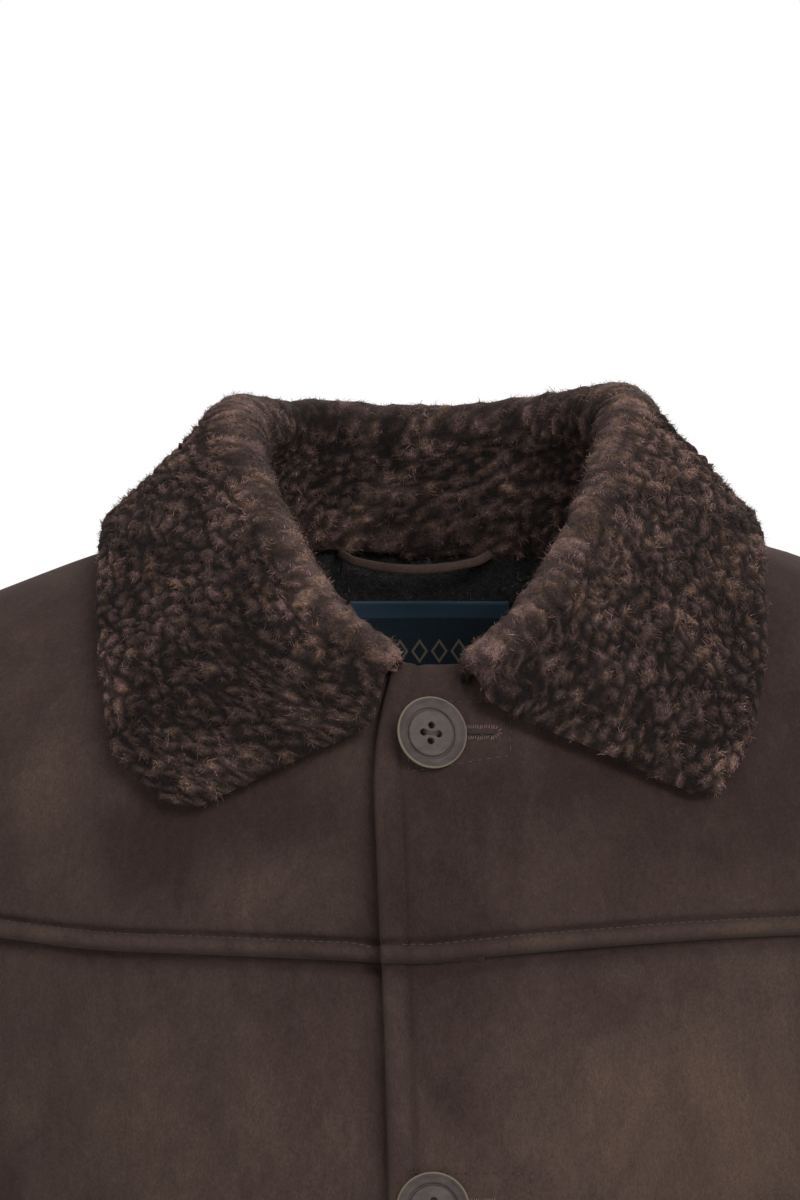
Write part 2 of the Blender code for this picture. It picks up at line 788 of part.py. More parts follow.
def hole_mesh(name):
    mesh = bmesh.new()
    for k in range(HOLES):
        angle = HOLE_TURN + math.tau * k / HOLES
        made = bmesh.ops.create_cone(
            mesh,
            cap_ends=True,
            segments=HOLE_STEPS,
            radius1=HOLE_RADIUS,
            radius2=HOLE_RADIUS,
            depth=HOLE_DEPTH,
        )
        centre = Vector((math.cos(angle), math.sin(angle), 0.0)) * HOLE_REACH
        bmesh.ops.translate(mesh, verts=made["verts"], vec=centre)
    data = bpy.data.meshes.new(name + "_holes")
    mesh.to_mesh(data)
    mesh.free()
    return data


def main():
    for old in list(bpy.data.objects):
        bpy.data.objects.remove(old)
    for name in (COLLECTION, "cutters"):
        bpy.context.scene.collection.children.link(bpy.data.collections.new(name))
    make_back()
    for word, side in (("left", LEFT), ("right", RIGHT)):
        make_front("front_" + word, side)
        make_yoke("yoke_" + word, side)
        make_sleeve("sleeve_" + word, side)
    make_collar()
    make_lining()
    make_label()
    make_loop()
    for number, z in enumerate(BUTTON_Z, 1):
        make_button("button_" + str(number), z)


main()
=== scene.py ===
"""Faux suede jacket with a folded collar of faux shearling: its looks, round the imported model.

Metres, +Z up.  The front faces -Y and the wearer's left side is +X.  Every piece of cloth is laid
again on the jacket's body form, finer than in the model, with its folds, seams and stitching.
A spot on the form is a pair (turn, fall): the turn round the body from the middle, positive to
the wearer's left, and the fall from the shoulder line, positive down the front and negative down
the back.  The form is the outside of the cloth.
"""
import json
import math
from functools import lru_cache

import bmesh
import bpy
import numpy as np
from bpy.props import FloatProperty, FloatVectorProperty, IntProperty, PointerProperty
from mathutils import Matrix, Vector
from mathutils.kdtree import KDTree

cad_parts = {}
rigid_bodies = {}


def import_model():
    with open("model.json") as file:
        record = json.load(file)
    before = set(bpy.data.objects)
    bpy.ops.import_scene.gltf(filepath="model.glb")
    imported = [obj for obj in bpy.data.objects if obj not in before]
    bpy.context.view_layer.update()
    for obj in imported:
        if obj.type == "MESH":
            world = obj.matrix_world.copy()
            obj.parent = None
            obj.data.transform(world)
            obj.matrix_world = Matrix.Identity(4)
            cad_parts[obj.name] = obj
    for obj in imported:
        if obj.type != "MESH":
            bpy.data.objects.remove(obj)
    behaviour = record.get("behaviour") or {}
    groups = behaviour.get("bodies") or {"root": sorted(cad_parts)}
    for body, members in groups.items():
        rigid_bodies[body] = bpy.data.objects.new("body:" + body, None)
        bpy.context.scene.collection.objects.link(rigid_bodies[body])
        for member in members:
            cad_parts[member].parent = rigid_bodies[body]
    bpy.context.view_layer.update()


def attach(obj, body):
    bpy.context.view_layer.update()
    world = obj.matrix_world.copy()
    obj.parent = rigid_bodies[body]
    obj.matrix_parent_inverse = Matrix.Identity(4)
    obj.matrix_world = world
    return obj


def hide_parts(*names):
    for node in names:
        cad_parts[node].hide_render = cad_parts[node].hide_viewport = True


bl_info = {
    "name": "Faux Suede Jacket",
    "version": (1, 0, 0),
    "blender": (4, 5, 0),
    "location": "3D View > Sidebar > Jacket",
    "description": "Builds the cloth, pile, stitching and buttons of a faux suede jacket",
    "category": "Add Mesh",
}

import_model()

LEFT, RIGHT = 1, -1
FRONT, BACK = 1, -1
WORD = {LEFT: "left", RIGHT: "right"}
QUARTER = math.pi / 2
UPWARD = np.array((0.0, 0.0, 1.0))

# --- Sizes of the jacket ---

# Columns and rows of the pieces' nets
NETS = {
    "front": (76, 118),
    "yoke": (104, 62),
    "back": (92, 120),
    "sleeve": (80, 112),
    "undercollar": (96, 28),
    "collar": (310, 112),
    "lining": (64, 44),
    "label": (44, 36),
    "loop": (16, 90),
}
# Walls of the cloth, and the depth of the pile
WALL = 0.002
PILE_WALL = 0.002
PILE = 0.0095
LINING_DEPTH = 0.0063
HEM_Z = -0.740
ARMPIT_Z = -0.245
NECK_HALF = 0.085
BACK_NECK_DROP = 0.010
FRONT_NECK_DROP = 0.062
SHOULDER_HALF = 0.230
SHOULDER_SLOPE = 0.40
SHOULDER_ROUND = 0.020
CAP = 0.160
SECTION_POWER = 2.2

BODY = (
    # drop, half_width, front_depth, back_depth
    (0.000, 0.250, 0.108, 0.108),
    (0.080, 0.245, 0.116, 0.124),
    (0.140, 0.234, 0.128, 0.132),
    (0.200, 0.213, 0.138, 0.134),
    (0.280, 0.216, 0.146, 0.132),
    (0.400, 0.217, 0.148, 0.127),
    (0.550, 0.218, 0.144, 0.124),
    (0.800, 0.227, 0.142, 0.129),
)
ARMHOLE = (
    # x, z
    (0.2005, -0.233),
    (0.1900, -0.208),
    (0.1870, -0.165),
    (0.1930, -0.118),
    (0.2110, -0.076),
)
LAP_EDGE = (
    # z, x
    (-0.740, -0.0190),
    (-0.174, -0.0190),
    (-0.130, -0.0210),
    (-0.100, -0.0218),
    (-0.080, -0.0195),
    (-0.062, -0.0150),
)
UNDER_EDGE_X = 0.020
LAP_LIFT = 0.0038
LAP_MARGIN = 0.004
LAP_FADE = 0.045
YOKE_Z = -0.174
YOKE_RISE = {LEFT: 0.010, RIGHT: 0.004}
YOKE_RISE_REACH = 0.170
# How much higher the cloth sits over each shoulder than on its solid
SHOULDER_RAISE = {LEFT: 0.0054, RIGHT: 0.0012}
YOKE_END_SHARE = 0.4
YOKE_TOP_SHARE = 0.1
# How far the fronts run up under the yokes, and as a share of the armhole
YOKE_LAP = 0.008
YOKE_LAP_SHARE = 0.045

# Shares of the panels' borders taken by the side, the armhole and the neck
YOKE_SHARE = 0.5
SIDE_SHARE = 7.0 / 12.0
BACK_SIDE_SHARE = 7.0 / 17.0
BACK_NECK_STEPS = 4
FRONT_NECK_STEPS = 6
SHOULDER_STEPS = 5
FRONT_STEPS = 1 + FRONT_NECK_STEPS + SHOULDER_STEPS
BACK_STEPS = 2 * (BACK_NECK_STEPS + SHOULDER_STEPS)
COLLAR_STEPS = BACK_NECK_STEPS + FRONT_NECK_STEPS
COLLAR_END_ANGLE = 165.0
BACK_CROWDING = 2
FRONT_CROWDING = 1.5

COLLAR = (
    # seam_angle, fold_x, fold_y, fold_z, roll, left_x, left_z, right_x, right_z
    (0.0, 0.000, 0.079, 0.0270, 0.0075, 0.000, -0.040, 0.000, -0.040),
    (32.0, 0.042, 0.069, 0.0285, 0.0075, 0.061, -0.038, 0.061, -0.038),
    (62.0, 0.070, 0.039, 0.0310, 0.0075, 0.106, -0.031, 0.105, -0.030),
    (88.0, 0.079, -0.001, 0.0325, 0.0075, 0.125, -0.0146, 0.124, -0.0142),
    (111.0, 0.073, -0.040, 0.0060, 0.0070, 0.128, -0.045, 0.127, -0.042),
    (132.0, 0.059, -0.075, -0.0210, 0.0060, 0.124, -0.076, 0.124, -0.072),
    (151.0, 0.0415, -0.0980, -0.0430, 0.0050, 0.117, -0.096, 0.116, -0.097),
    (165.0, 0.0225, -0.1060, -0.0570, 0.0042, 0.104, -0.112, 0.088, -0.116),
)
# How far each front end reaches ahead, and the swell below it: its height, fall and rise
END_REACH = {LEFT: 0.0140, RIGHT: 0.0102}
END_BELLY = {LEFT: (0.0050, 2.5, 0.12), RIGHT: (0.0155, 1.0, 0.24)}
BELLY_POWER = 6
# How much higher the roll sits at angles of the neckline, on the left and on the right
TOP_LIFT = (
    # angle, left, right
    (0.0, 0.0037, 0.0037),
    (32.0, 0.0056, 0.0044),
    (62.0, 0.0073, 0.0022),
    (88.0, 0.0014, -0.0040),
    (111.0, -0.0012, -0.0024),
    (132.0, 0.0, 0.0),
)
EDGE_LIFT = 0.0065
COLLAR_GAP = 0.0008
# Shares of the collar, from its seam up, of its stand and of its roll
STAND_SHARE = 0.28
ROLL_SHARE = 0.24
# Shares of the collar over which the tip of each leaf is rounded
TIP_ALONG = 0.02
TIP_UP = 0.04
# How far the tips of the leaves reach beyond the outline, across and up, and where that starts
TIP_REACH = {LEFT: (0.0, -0.0034), RIGHT: (-0.0044, -0.0040)}
TIP_FROM = (0.88, 0.74)
TIP_OVER = (0.12, 0.26)
# Shares of the collar by which the undercollar is set in from the pile's outline
INSET_ALONG = 0.012
INSET_UP = 0.020
# How far the pile hangs over the lining inside the neck, and over the yokes at its ends
PILE_HANG = 0.0092
END_HANG = {LEFT: 0.0004, RIGHT: 0.0030}
# Shares of the rows at the seam, the foot of the roll, its top and the leaf's edge
PILE_ROW_SHARES = (0.0, 0.27, 0.39, 1.0)
# Widths over which the pile rounds off at its edge and at its seam, and spreads over its borders
PILE_RIM = 0.006
PILE_FOOT = 0.007
PILE_SPREAD = 0.007
PILE_SPREAD_BY = 0.0012
# How high above the seam the pile's hang fades out
HANG_REACH = 0.014
# The roll's band of painted sheen: its middle as a share of the roll, and its half width
ROLL_BAND = 0.68
ROLL_BAND_HALF = 0.070
# The curled tufts' size, the way they fall, and their strands
TUFT = 0.0050
PILE_FALL = np.array((0.0, 0.0, -0.45))
STRAND_PIECES = 3
STRANDS = 54000
STRAND_LENGTH = (0.0013, 0.0029)
STRAND_WIDTH = (0.00014, 0.00030)

SLEEVE = (
    # x, y, z, half_wide, half_deep
    (0.2930, 0.002, -0.300, 0.0630, 0.0740),
    (0.3140, 0.000, -0.385, 0.0600, 0.0690),
    (0.3370, -0.007, -0.480, 0.0560, 0.0610),
    (0.3580, -0.024, -0.580, 0.0510, 0.0550),
    (0.3780, -0.046, -0.690, 0.0450, 0.0500),
)
SLEEVE_LEAN = 0.23
SLEEVE_START = 0.012
SLEEVE_LAP = 0.0016
SLEEVE_CROWDING = 1.15
SLEEVE_HANG = (0.42, 0.0, -0.91)
SLEEVE_TURN_FROM = 0.12
SLEEVE_TURN_OVER = 0.45
# The girth at which the sleeve's folds are repeated, because its borders meet under the arm
SLEEVE_ROUND = 0.36

# Gaps at the seams
SEAM_GAP = 0.0003
SIDE_SEAM = 0.0006
SHOULDER_SEAM = 0.0014

LABEL_X = (-0.0345, 0.0350)
LABEL_Z = (-0.0795, -0.0290)
LABEL_DEPTH = 0.0101
LOOP_HALF = 0.033
LOOP_MIDDLE_X = -0.0055
LOOP_TOP_Z = -0.0155
LOOP_SAG = 0.0075
LOOP_RADIUS = 0.0017
LOOP_CLEAR = 0.0027
LOOP_TUCK = 0.0110
LOOP_SEEN = 0.0045

# Shares of the back's columns and rows that the lining covers
LINING_COLUMNS = (3.0 / 18.0, 15.0 / 18.0)
LINING_ROWS = (8.0 / 17.0, 1.0)
# The lining's pile: its height, how far its edge rounds down, its lumps, and its strands
LINING_PILE = 0.0030
LINING_EDGE = 0.0009
LINING_LUMP = 0.0005
LINING_WALL = 0.0022
LINING_STRANDS = 11000
LINING_STRAND = 0.0022
LINING_STRAND_WIDTH = 0.0003
LABEL_WALL = 0.0006
# The label's weave: where its band starts, the row of lozenges and their number
LABEL_BAND = 0.863
LABEL_ROW = (0.45, 0.70)
LABEL_LOZENGES = 8.0

BUTTON_X = 0.0004
BUTTON_Z = (-0.0892, -0.2658, -0.4485, -0.6295)
# The top button stands off the cloth and leans to one side
TOP_SHANK = 0.0030
TOP_LEAN = np.array((0.31, 0.0, -0.20))
TOP_OFF = np.array((-0.0012, 0.0, -0.0005))
BUTTON_PROFILE = (
    # radius, height above the cloth, in mm
    (0.00, 2.50),
    (8.55, 2.54),
    (8.82, 2.44),
    (9.02, 1.90),
    (9.20, 1.20),
    (9.66, 1.20),
    (9.86, 1.85),
    (10.20, 2.16),
    (11.20, 2.50),
    (12.10, 2.98),
    (12.80, 3.58),
    (13.20, 3.96),
    (13.45, 4.06),
    (13.72, 4.00),
    (13.94, 3.74),
    (14.02, 3.30),
    (13.90, 2.70),
    (13.30, 1.80),
    (12.60, 1.20),
    (8.50, 0.05),
    (0.00, 0.05),
)
HOLE_PROFILE = (
    # radius, height, in mm
    (0.00, 6.00),
    (1.62, 6.00),
    (1.62, 2.60),
    (1.46, 2.42),
    (1.30, 2.20),
    (1.25, 1.90),
    (1.25, -2.00),
    (0.00, -2.00),
)
# The four holes of a button, round its middle
HOLE_REACH = 0.0031
HOLE_TURN = math.radians(-7.0)
# The thin edge of a button, where a highlight is painted, its flat face, and the threads across its
# holes
RIM_REACH = 0.01325
RIM_HEIGHT = 0.0026
RIM_FADE = 0.0006
FACE_HEIGHT = 0.0025
FACE_REACH = 0.0086
THREAD_HEIGHT = 0.00265
THREAD_OFFS = (-0.00060, -0.00020, 0.00020, 0.00060)
MM = 0.001

# The stitched patch round each buttonhole; the top one is shorter and its lower line runs up
PATCH_X = (-0.0086, 0.0372)
PATCH_HALF = 0.0132
TOP_PATCH_SHORTER = 0.0072
TOP_PATCH_FOOT = -0.55
# The buttonhole: its end, how much higher it lies than the button, and its half height
HOLE_END_X = 0.0235
HOLE_RISE = 0.0008
HOLE_HALF = 0.0021
# Distances of the stitching from the folded edges
EDGE_STITCH = 0.0100
YOKE_STITCH = 0.0075
HEM_STITCH = 0.020
# Folded and stitched edges: the stitching's distance, the puff, its dip, the fold's width and drop
FRONT_EDGE = (EDGE_STITCH, 0.0014, 0.0010, 0.0026, 0.0019)
YOKE_EDGE = (YOKE_STITCH, 0.0030, 0.0018, 0.0024, 0.0026)
HEM_EDGE = (HEM_STITCH, 0.0007, 0.0005, 0.002, 0.0012)
# Half widths of the dips along a line of stitching and along a seam, and how deep a seam lies
STITCH_HALF = 0.0011
SEAM_HALF = 0.0035
SEAM_DIP = 0.0011
TOP_SEAM_HALF = 0.0030
TOP_SEAM_DIP = 0.0010
# Distance from a seam over which the cloth's folds start
SETTLE = 0.012
# Heights and half widths of the patches' edges, their grooves, the dents under the buttons, and
# the buttonholes' slits, whose rims also have a distance
PATCH_RISE = 0.0006
PATCH_RISE_OVER = 0.004
PATCH_GROOVE = (0.0005, 0.0013)
BUTTON_DENT = (0.0005, 0.012)
SLIT = (0.0012, 0.0008)
SLIT_RIM_AT = 0.0022
SLIT_RIM = (0.0005, 0.0016)
# The right front's dip beside the lap: its place, shape, and where it starts below the neck
UNDER_DIP_AT = -0.0012
UNDER_DIP = (-0.0052, 0.0062)
UNDER_DIP_FROM = -0.070
UNDER_DIP_OVER = 0.016
# How deep the fronts lie under the yokes, beside the lap and elsewhere, and the dip before it
SUNK_LAP = 0.0022
SUNK = 0.0036
SUNK_FROM = -0.0055
SUNK_OVER = 0.0042
SUNK_DIP_AT = -0.007
SUNK_DIP = (0.0006, 0.005)
# Pitches of the stitching on the yokes and the front edge, and of the rest
FINE_PITCH = 0.0032
PITCH = 0.0036
# How high the thread's middle lies on the cloth
ON_TOP = 0.00005

# Patches where the fronts are lighter or darker, as their pile is brushed; the dark ones on the
# yokes
# are painted shade round and under the collar's leaves instead
NAP_AND_SHADE_PATCHES = (
    # x, z, half_wide, half_tall, share
    (-0.069, -0.146, 0.032, 0.013, 0.6),
    (-0.146, -0.112, 0.022, 0.030, 0.7),
    (-0.106, -0.130, 0.020, 0.014, -0.8),
    (-0.045, -0.116, 0.036, 0.014, -0.6),
    (0.000, -0.125, 0.018, 0.034, -0.7),
    (0.050, -0.104, 0.042, 0.014, -0.6),
    (0.102, -0.145, 0.038, 0.012, 0.3),
    (0.100, -0.128, 0.066, 0.042, -0.85),
    (0.150, -0.070, 0.034, 0.050, -0.9),
    (-0.095, -0.145, 0.070, 0.036, -0.85),
    (0.108, -0.240, 0.065, 0.046, 1.0),
    (0.008, -0.227, 0.013, 0.015, -0.7),
    (-0.140, -0.212, 0.034, 0.040, 0.3),
    (-0.070, -0.250, 0.060, 0.040, 0.2),
    (-0.100, -0.400, 0.060, 0.050, -0.5),
    (0.090, -0.420, 0.050, 0.070, -0.5),
    (-0.060, -0.560, 0.050, 0.060, 0.6),
    (0.110, -0.600, 0.060, 0.050, 0.5),
)
NAP_EDGE_FADE = 0.006

# Soft ridges and troughs in the cloth; each runs along a bowed line between two places
FRONT_FOLDS = (
    # start_x, start_z, end_x, end_z, bow, half_width, rise, with x measured outwards
    (0.186, -0.205, 0.085, -0.262, 0.010, 0.011, -0.0028),
    (0.190, -0.225, 0.110, -0.305, 0.014, 0.014, 0.0026),
    (0.196, -0.245, 0.150, -0.360, 0.012, 0.012, -0.0024),
    (0.070, -0.300, 0.088, -0.740, -0.010, 0.030, 0.0034),
    (0.115, -0.380, 0.128, -0.760, 0.008, 0.022, -0.0034),
    (0.165, -0.330, 0.172, -0.760, 0.010, 0.024, 0.0040),
    (0.045, -0.560, 0.050, -0.780, 0.000, 0.020, -0.0022),
    (0.150, -0.085, 0.120, -0.165, 0.008, 0.020, -0.0012),
    (0.060, -0.120, 0.150, -0.150, 0.012, 0.022, 0.0010),
    (0.040, -0.205, 0.150, -0.232, -0.012, 0.020, 0.0012),
    (0.050, -0.250, 0.140, -0.330, 0.012, 0.026, -0.0014),
)
BACK_FOLDS = (
    # start_x, start_z, end_x, end_z, bow, half_width, rise
    (-0.192, -0.200, -0.085, -0.300, -0.012, 0.013, -0.0032),
    (-0.197, -0.235, -0.120, -0.365, -0.016, 0.014, 0.0032),
    (-0.203, -0.260, -0.165, -0.430, -0.014, 0.013, -0.0026),
    (0.190, -0.190, 0.080, -0.275, 0.014, 0.013, -0.0030),
    (0.198, -0.230, 0.115, -0.340, 0.014, 0.015, 0.0032),
    (0.203, -0.265, 0.160, -0.450, 0.016, 0.013, -0.0028),
    (-0.140, -0.150, 0.020, -0.120, 0.010, 0.020, 0.0016),
    (0.150, -0.150, 0.000, -0.185, -0.012, 0.018, -0.0016),
    (-0.060, -0.300, -0.072, -0.780, 0.010, 0.028, 0.0042),
    (-0.118, -0.360, -0.126, -0.780, -0.008, 0.020, -0.0036),
    (-0.166, -0.420, -0.176, -0.780, 0.006, 0.022, 0.0036),
    (0.010, -0.420, -0.006, -0.780, 0.008, 0.022, -0.0036),
    (0.062, -0.340, 0.076, -0.780, -0.010, 0.028, 0.0042),
    (0.124, -0.300, 0.118, -0.780, 0.008, 0.020, -0.0038),
    (0.168, -0.430, 0.178, -0.780, 0.006, 0.022, 0.0036),
)
SLEEVE_FOLDS = (
    # start_round, start_down, end_round, end_down, bow, half_width, rise, round from under the
    # arm to the front
    (0.030, 0.030, 0.150, 0.060, 0.004, 0.0080, -0.0034),
    (0.020, 0.060, 0.170, 0.110, 0.008, 0.0100, 0.0030),
    (0.010, 0.100, 0.160, 0.170, 0.010, 0.0100, -0.0032),
    (-0.030, 0.030, -0.150, 0.070, -0.004, 0.0090, -0.0034),
    (-0.030, 0.070, -0.170, 0.130, -0.010, 0.0110, 0.0030),
    (0.060, 0.270, 0.190, 0.310, 0.010, 0.0110, -0.0042),
    (0.020, 0.290, 0.180, 0.350, 0.012, 0.0110, 0.0040),
    (0.000, 0.330, 0.170, 0.390, 0.014, 0.0100, -0.0038),
    (0.030, 0.400, 0.150, 0.420, 0.010, 0.0120, 0.0028),
    (-0.020, 0.300, -0.140, 0.360, -0.012, 0.0120, -0.0032),
    (-0.150, 0.330, -0.230, 0.300, 0.008, 0.0150, 0.0026),
    (0.160, 0.130, 0.260, 0.300, -0.010, 0.0180, 0.0026),
    (0.210, 0.420, 0.120, 0.560, 0.010, 0.0150, -0.0026),
    (0.040, 0.520, 0.170, 0.575, 0.010, 0.0090, -0.0030),
    (0.010, 0.545, 0.150, 0.605, 0.012, 0.0090, 0.0028),
    (-0.020, 0.540, -0.160, 0.590, -0.010, 0.0100, -0.0030),
    (-0.190, 0.450, -0.110, 0.610, -0.010, 0.0140, 0.0026),
)


# Steps of the slopes that are measured on the form, the collar and the armhole
NORMAL_STEP = 0.004
SLOPE_STEP = 0.010
ARMHOLE_STEP = 0.002
LEVEL_ROUNDS = 8

LAMPS_AIM = (0.0, 0.0, -0.15)
LAMPS = (
    # name, place, wide, tall, power, colour
    ("key", (1.1, -2.8, 1.3), 1.6, 1.2, 58.0, (1.0, 0.985, 0.97)),
    ("fill", (-1.4, -3.2, -0.2), 2.0, 1.6, 18.0, (1.0, 0.99, 0.98)),
    ("top", (0.0, 0.3, 2.2), 2.0, 1.2, 15.0, (1.0, 1.0, 1.0)),
    ("back", (0.8, 3.0, 1.2), 2.0, 2.0, 40.0, (1.0, 0.99, 0.98)),
)

# The materials, once they are made
FINISHES = {}


# --- Curves and noise over arrays ---


def mix(a, b, share):
    return a + (b - a) * share


def smooth(share):
    share = np.clip(share, 0.0, 1.0)
    return share * share * (3.0 - 2.0 * share)


def bell(offset, half_width):
    return np.exp(-((offset / half_width) ** 2))


def ridge(distance, height, half_width):
    return height * bell(distance, half_width)


def unit(vectors):
    return vectors / np.maximum(np.linalg.norm(vectors, axis=-1, keepdims=True), 1e-12)


def hermite(start, leave, end, arrive, s):
    return (
        start * (2 * s**3 - 3 * s**2 + 1)
        + leave * (s**3 - 2 * s**2 + s)
        + end * (3 * s**2 - 2 * s**3)
        + arrive * (s**3 - s**2)
    )


def knot_slopes(values, gaps):
    """Slopes of a smooth curve at its knots, from the steps on both sides of each."""
    steep = np.diff(values, axis=0) / gaps
    before, after = gaps[:-1], gaps[1:]
    inner = (steep[:-1] * after + steep[1:] * before) / (before + after)
    return np.concatenate([steep[:1], inner, steep[-1:]])


def through(rows, at):
    """Smooth values at places between rows of (place, value, ...), one array for each value."""
    table = np.array(rows, float)
    places, values = table[:, 0], table[:, 1:]
    gaps = np.diff(places)
    slopes = knot_slopes(values, gaps[:, None])
    at = np.clip(np.asarray(at, float), places[0], places[-1])
    k = np.clip(np.searchsorted(places, at, side="right") - 1, 0, len(gaps) - 1)
    span = gaps[k][..., None]
    s = (at - places[k])[..., None] / span
    found = hermite(values[k], slopes[k] * span, values[k + 1], slopes[k + 1] * span, s)
    return np.moveaxis(found, -1, 0)


def numbered(rows):
    """Rows with their own place, 0 to 1, put in front."""
    return [(i / (len(rows) - 1), *row) for i, row in enumerate(rows)]


def crowded(share, *places):
    """Even shares gathered round places, each given as (place, reach, how many times denser)."""
    fine = np.linspace(0.0, 1.0, 2001)
    density = np.ones(2001)
    for place, reach, times in places:
        density += (times - 1.0) * bell(fine - place, reach)
    total = np.concatenate([[0.0], np.cumsum((density[1:] + density[:-1]) / 2.0)])
    return np.interp(share, total / total[-1], fine)


def cloud(points, size, seed):
    """Soft noise from -1 to 1 in lumps of about that size."""
    table = np.random.default_rng(seed).uniform(-1.0, 1.0, 4096)
    cell = np.asarray(points) / size
    low = np.floor(cell).astype(np.int64)
    part = cell - low
    part = part * part * (3.0 - 2.0 * part)
    total = np.zeros(len(cell))
    for corner in np.ndindex(2, 2, 2):
        corner = np.array(corner)
        index = ((low + corner) @ np.array((73856093, 19349663, 83492791))) % 4096
        total += table[index] * np.prod(np.where(corner, part, 1.0 - part), axis=-1)
    return total


def clouds(points, size, seed):
    """Soft noise in three directions, from three seeds."""
    return np.stack([cloud(points, size, seed + k) for k in range(3)], -1)


def directions(rng, count):
    return unit(rng.normal(size=(count, 3)))


def furrows(at, rows):
    """Height of soft ridges and troughs at places given as pairs."""
    height = np.zeros(len(at))
    for start_x, start_y, end_x, end_y, bow, half_width, rise in rows:
        start = np.array((start_x, start_y))
        run = np.array((end_x, end_y)) - start
        length = np.hypot(*run)
        along = (at - start) @ run / length**2
        off = (at - start) @ np.array((-run[1], run[0])) / length
        off = off - bow * 4.0 * along * (1.0 - along)
        ends = smooth(along / 0.35) * smooth((1.0 - along) / 0.35)
        height += rise * ends * bell(off, half_width)
    return height


# --- The body form ---


def shoulder_line(x):
    neck = math.hypot(SHOULDER_SLOPE * NECK_HALF, SHOULDER_ROUND)
    return neck - np.hypot(SHOULDER_SLOPE * x, SHOULDER_ROUND)


def drop_of(fall):
    fall = np.abs(fall)
    near = CAP * (1.0 - np.cos(np.minimum(fall, QUARTER)))
    return near + CAP * np.maximum(fall - QUARTER, 0.0)


def fall_of(drop):
    drop = np.maximum(drop, 0.0)
    near = np.arccos(np.clip(1.0 - drop / CAP, 0.0, 1.0))
    return near + np.maximum(drop - CAP, 0.0) / CAP


def rounded(value):
    """A sine or cosine raised to the power of the body's sections, with its sign kept."""
    return np.copysign(np.abs(value) ** (2.0 / SECTION_POWER), value)


def form(spots):
    turn, fall = spots[..., 0], spots[..., 1]
    drop = drop_of(fall)
    half_width, front_depth, back_depth = through(BODY, drop)
    depth = np.where(fall > 0.0, front_depth, back_depth)
    x = half_width * rounded(np.sin(turn))
    y = -depth * rounded(np.cos(turn)) * np.sin(np.clip(fall, -QUARTER, QUARTER))
    return np.stack([x, y, shoulder_line(x) - drop], -1)


def outward(spots):
    """Unit normals of the form, away from the body."""
    turn_step, fall_step = np.array((NORMAL_STEP, 0.0)), np.array((0.0, NORMAL_STEP))
    across = form(spots + turn_step) - form(spots - turn_step)
    down = form(spots + fall_step) - form(spots - fall_step)
    return unit(np.cross(down, across))


def on_form(spots, lift):
    return form(spots) + outward(spots) * np.broadcast_to(lift, spots.shape[:-1])[..., None]


def spot(x, z, sheet):
    """The spots at widths and heights on the front or the back sheet."""
    x, z = np.broadcast_arrays(np.asarray(x, float), np.asarray(z, float))
    drop = shoulder_line(x) - z
    half_width = through(BODY, np.maximum(drop, 0.0))[0]
    share = np.clip(x / half_width, -1.0, 1.0)
    turn = np.arcsin(np.copysign(np.abs(share) ** (SECTION_POWER / 2.0), share))
    return np.stack([turn, sheet * fall_of(drop)], -1)


def level(turn, z, sheet):
    """The spots at turns and heights."""
    turn, z = np.broadcast_arrays(np.asarray(turn, float), np.asarray(z, float))
    fall = fall_of(-z)
    for _ in range(LEVEL_ROUNDS):
        x = through(BODY, drop_of(fall))[0] * rounded(np.sin(turn))
        fall = fall_of(shoulder_line(x) - z)
    return np.stack([turn, sheet * fall], -1)


# --- Borders of the panels, each from 0 to 1 ---


def pairs(turn, fall):
    return np.stack(np.broadcast_arrays(turn, fall), -1)


def shoulder_seam(share, side, sheet):
    start = spot(side * NECK_HALF, 0.0, sheet)[0]
    end = spot(side * SHOULDER_HALF, shoulder_line(SHOULDER_HALF), sheet)[0]
    return pairs(mix(start, end, share), sheet * SHOULDER_SEAM)


@lru_cache
def armhole_rows():
    rows = [level(QUARTER - SIDE_SEAM, ARMPIT_Z, FRONT)]
    rows += [spot(x, z, FRONT) for x, z in ARMHOLE]
    rows.append(shoulder_seam(1.0, LEFT, FRONT))
    return numbered([tuple(row) for row in rows])


def armhole(share, side, sheet):
    """From the armpit, 0, to the shoulder point, 1."""
    turn, fall = through(armhole_rows(), share)
    return pairs(side * turn, sheet * fall)


def side_seam(share, side, sheet):
    return level(side * (QUARTER - SIDE_SEAM), mix(HEM_Z, ARMPIT_Z, share), sheet)


def outer_border(share, side, sheet, side_share, armhole_share=1.0):
    """A panel's side seam, then the armhole up to that share of it."""
    rest = (share - side_share) / (1.0 - side_share)
    lower = side_seam(np.minimum(share / side_share, 1.0), side, sheet)
    upper = armhole(rest * armhole_share, side, sheet)
    return np.where((rest <= 0.0)[..., None], lower, upper)


def edge_x(z, side):
    if side == RIGHT:
        return np.full(np.shape(z), UNDER_EDGE_X)
    return through(LAP_EDGE, z)[0]


def yoke_z(x, side):
    reach = np.clip(side * x / YOKE_RISE_REACH, 0.0, 1.0)
    return YOKE_Z + YOKE_RISE[side] * (1.0 - (1.0 - reach) ** 2)


def yoke_seam(share, side):
    """From the front edge to the armhole."""
    start = spot(edge_x(np.array(YOKE_Z), side), YOKE_Z, FRONT)
    end = armhole(YOKE_SHARE, side, FRONT)
    turn = mix(start[0], end[0], share)
    middle = spot(form(pairs(turn, end[1]))[..., 0], YOKE_Z, FRONT)
    x = form(pairs(turn, middle[..., 1]))[..., 0]
    turned = smooth(1.0 - (1.0 - share) / YOKE_END_SHARE)
    return level(turn, mix(yoke_z(x, side), form(end)[2], turned), FRONT)


def neck_angle(step):
    """Angle from the middle of the back, in degrees, at steps of the neckline."""
    behind = 90.0 * (1.0 - np.abs(np.minimum(step / BACK_NECK_STEPS - 1.0, 0.0)) ** BACK_CROWDING)
    ahead = np.maximum(step - BACK_NECK_STEPS, 0.0) / FRONT_NECK_STEPS
    return behind + (COLLAR_END_ANGLE - 90.0) * ahead**FRONT_CROWDING


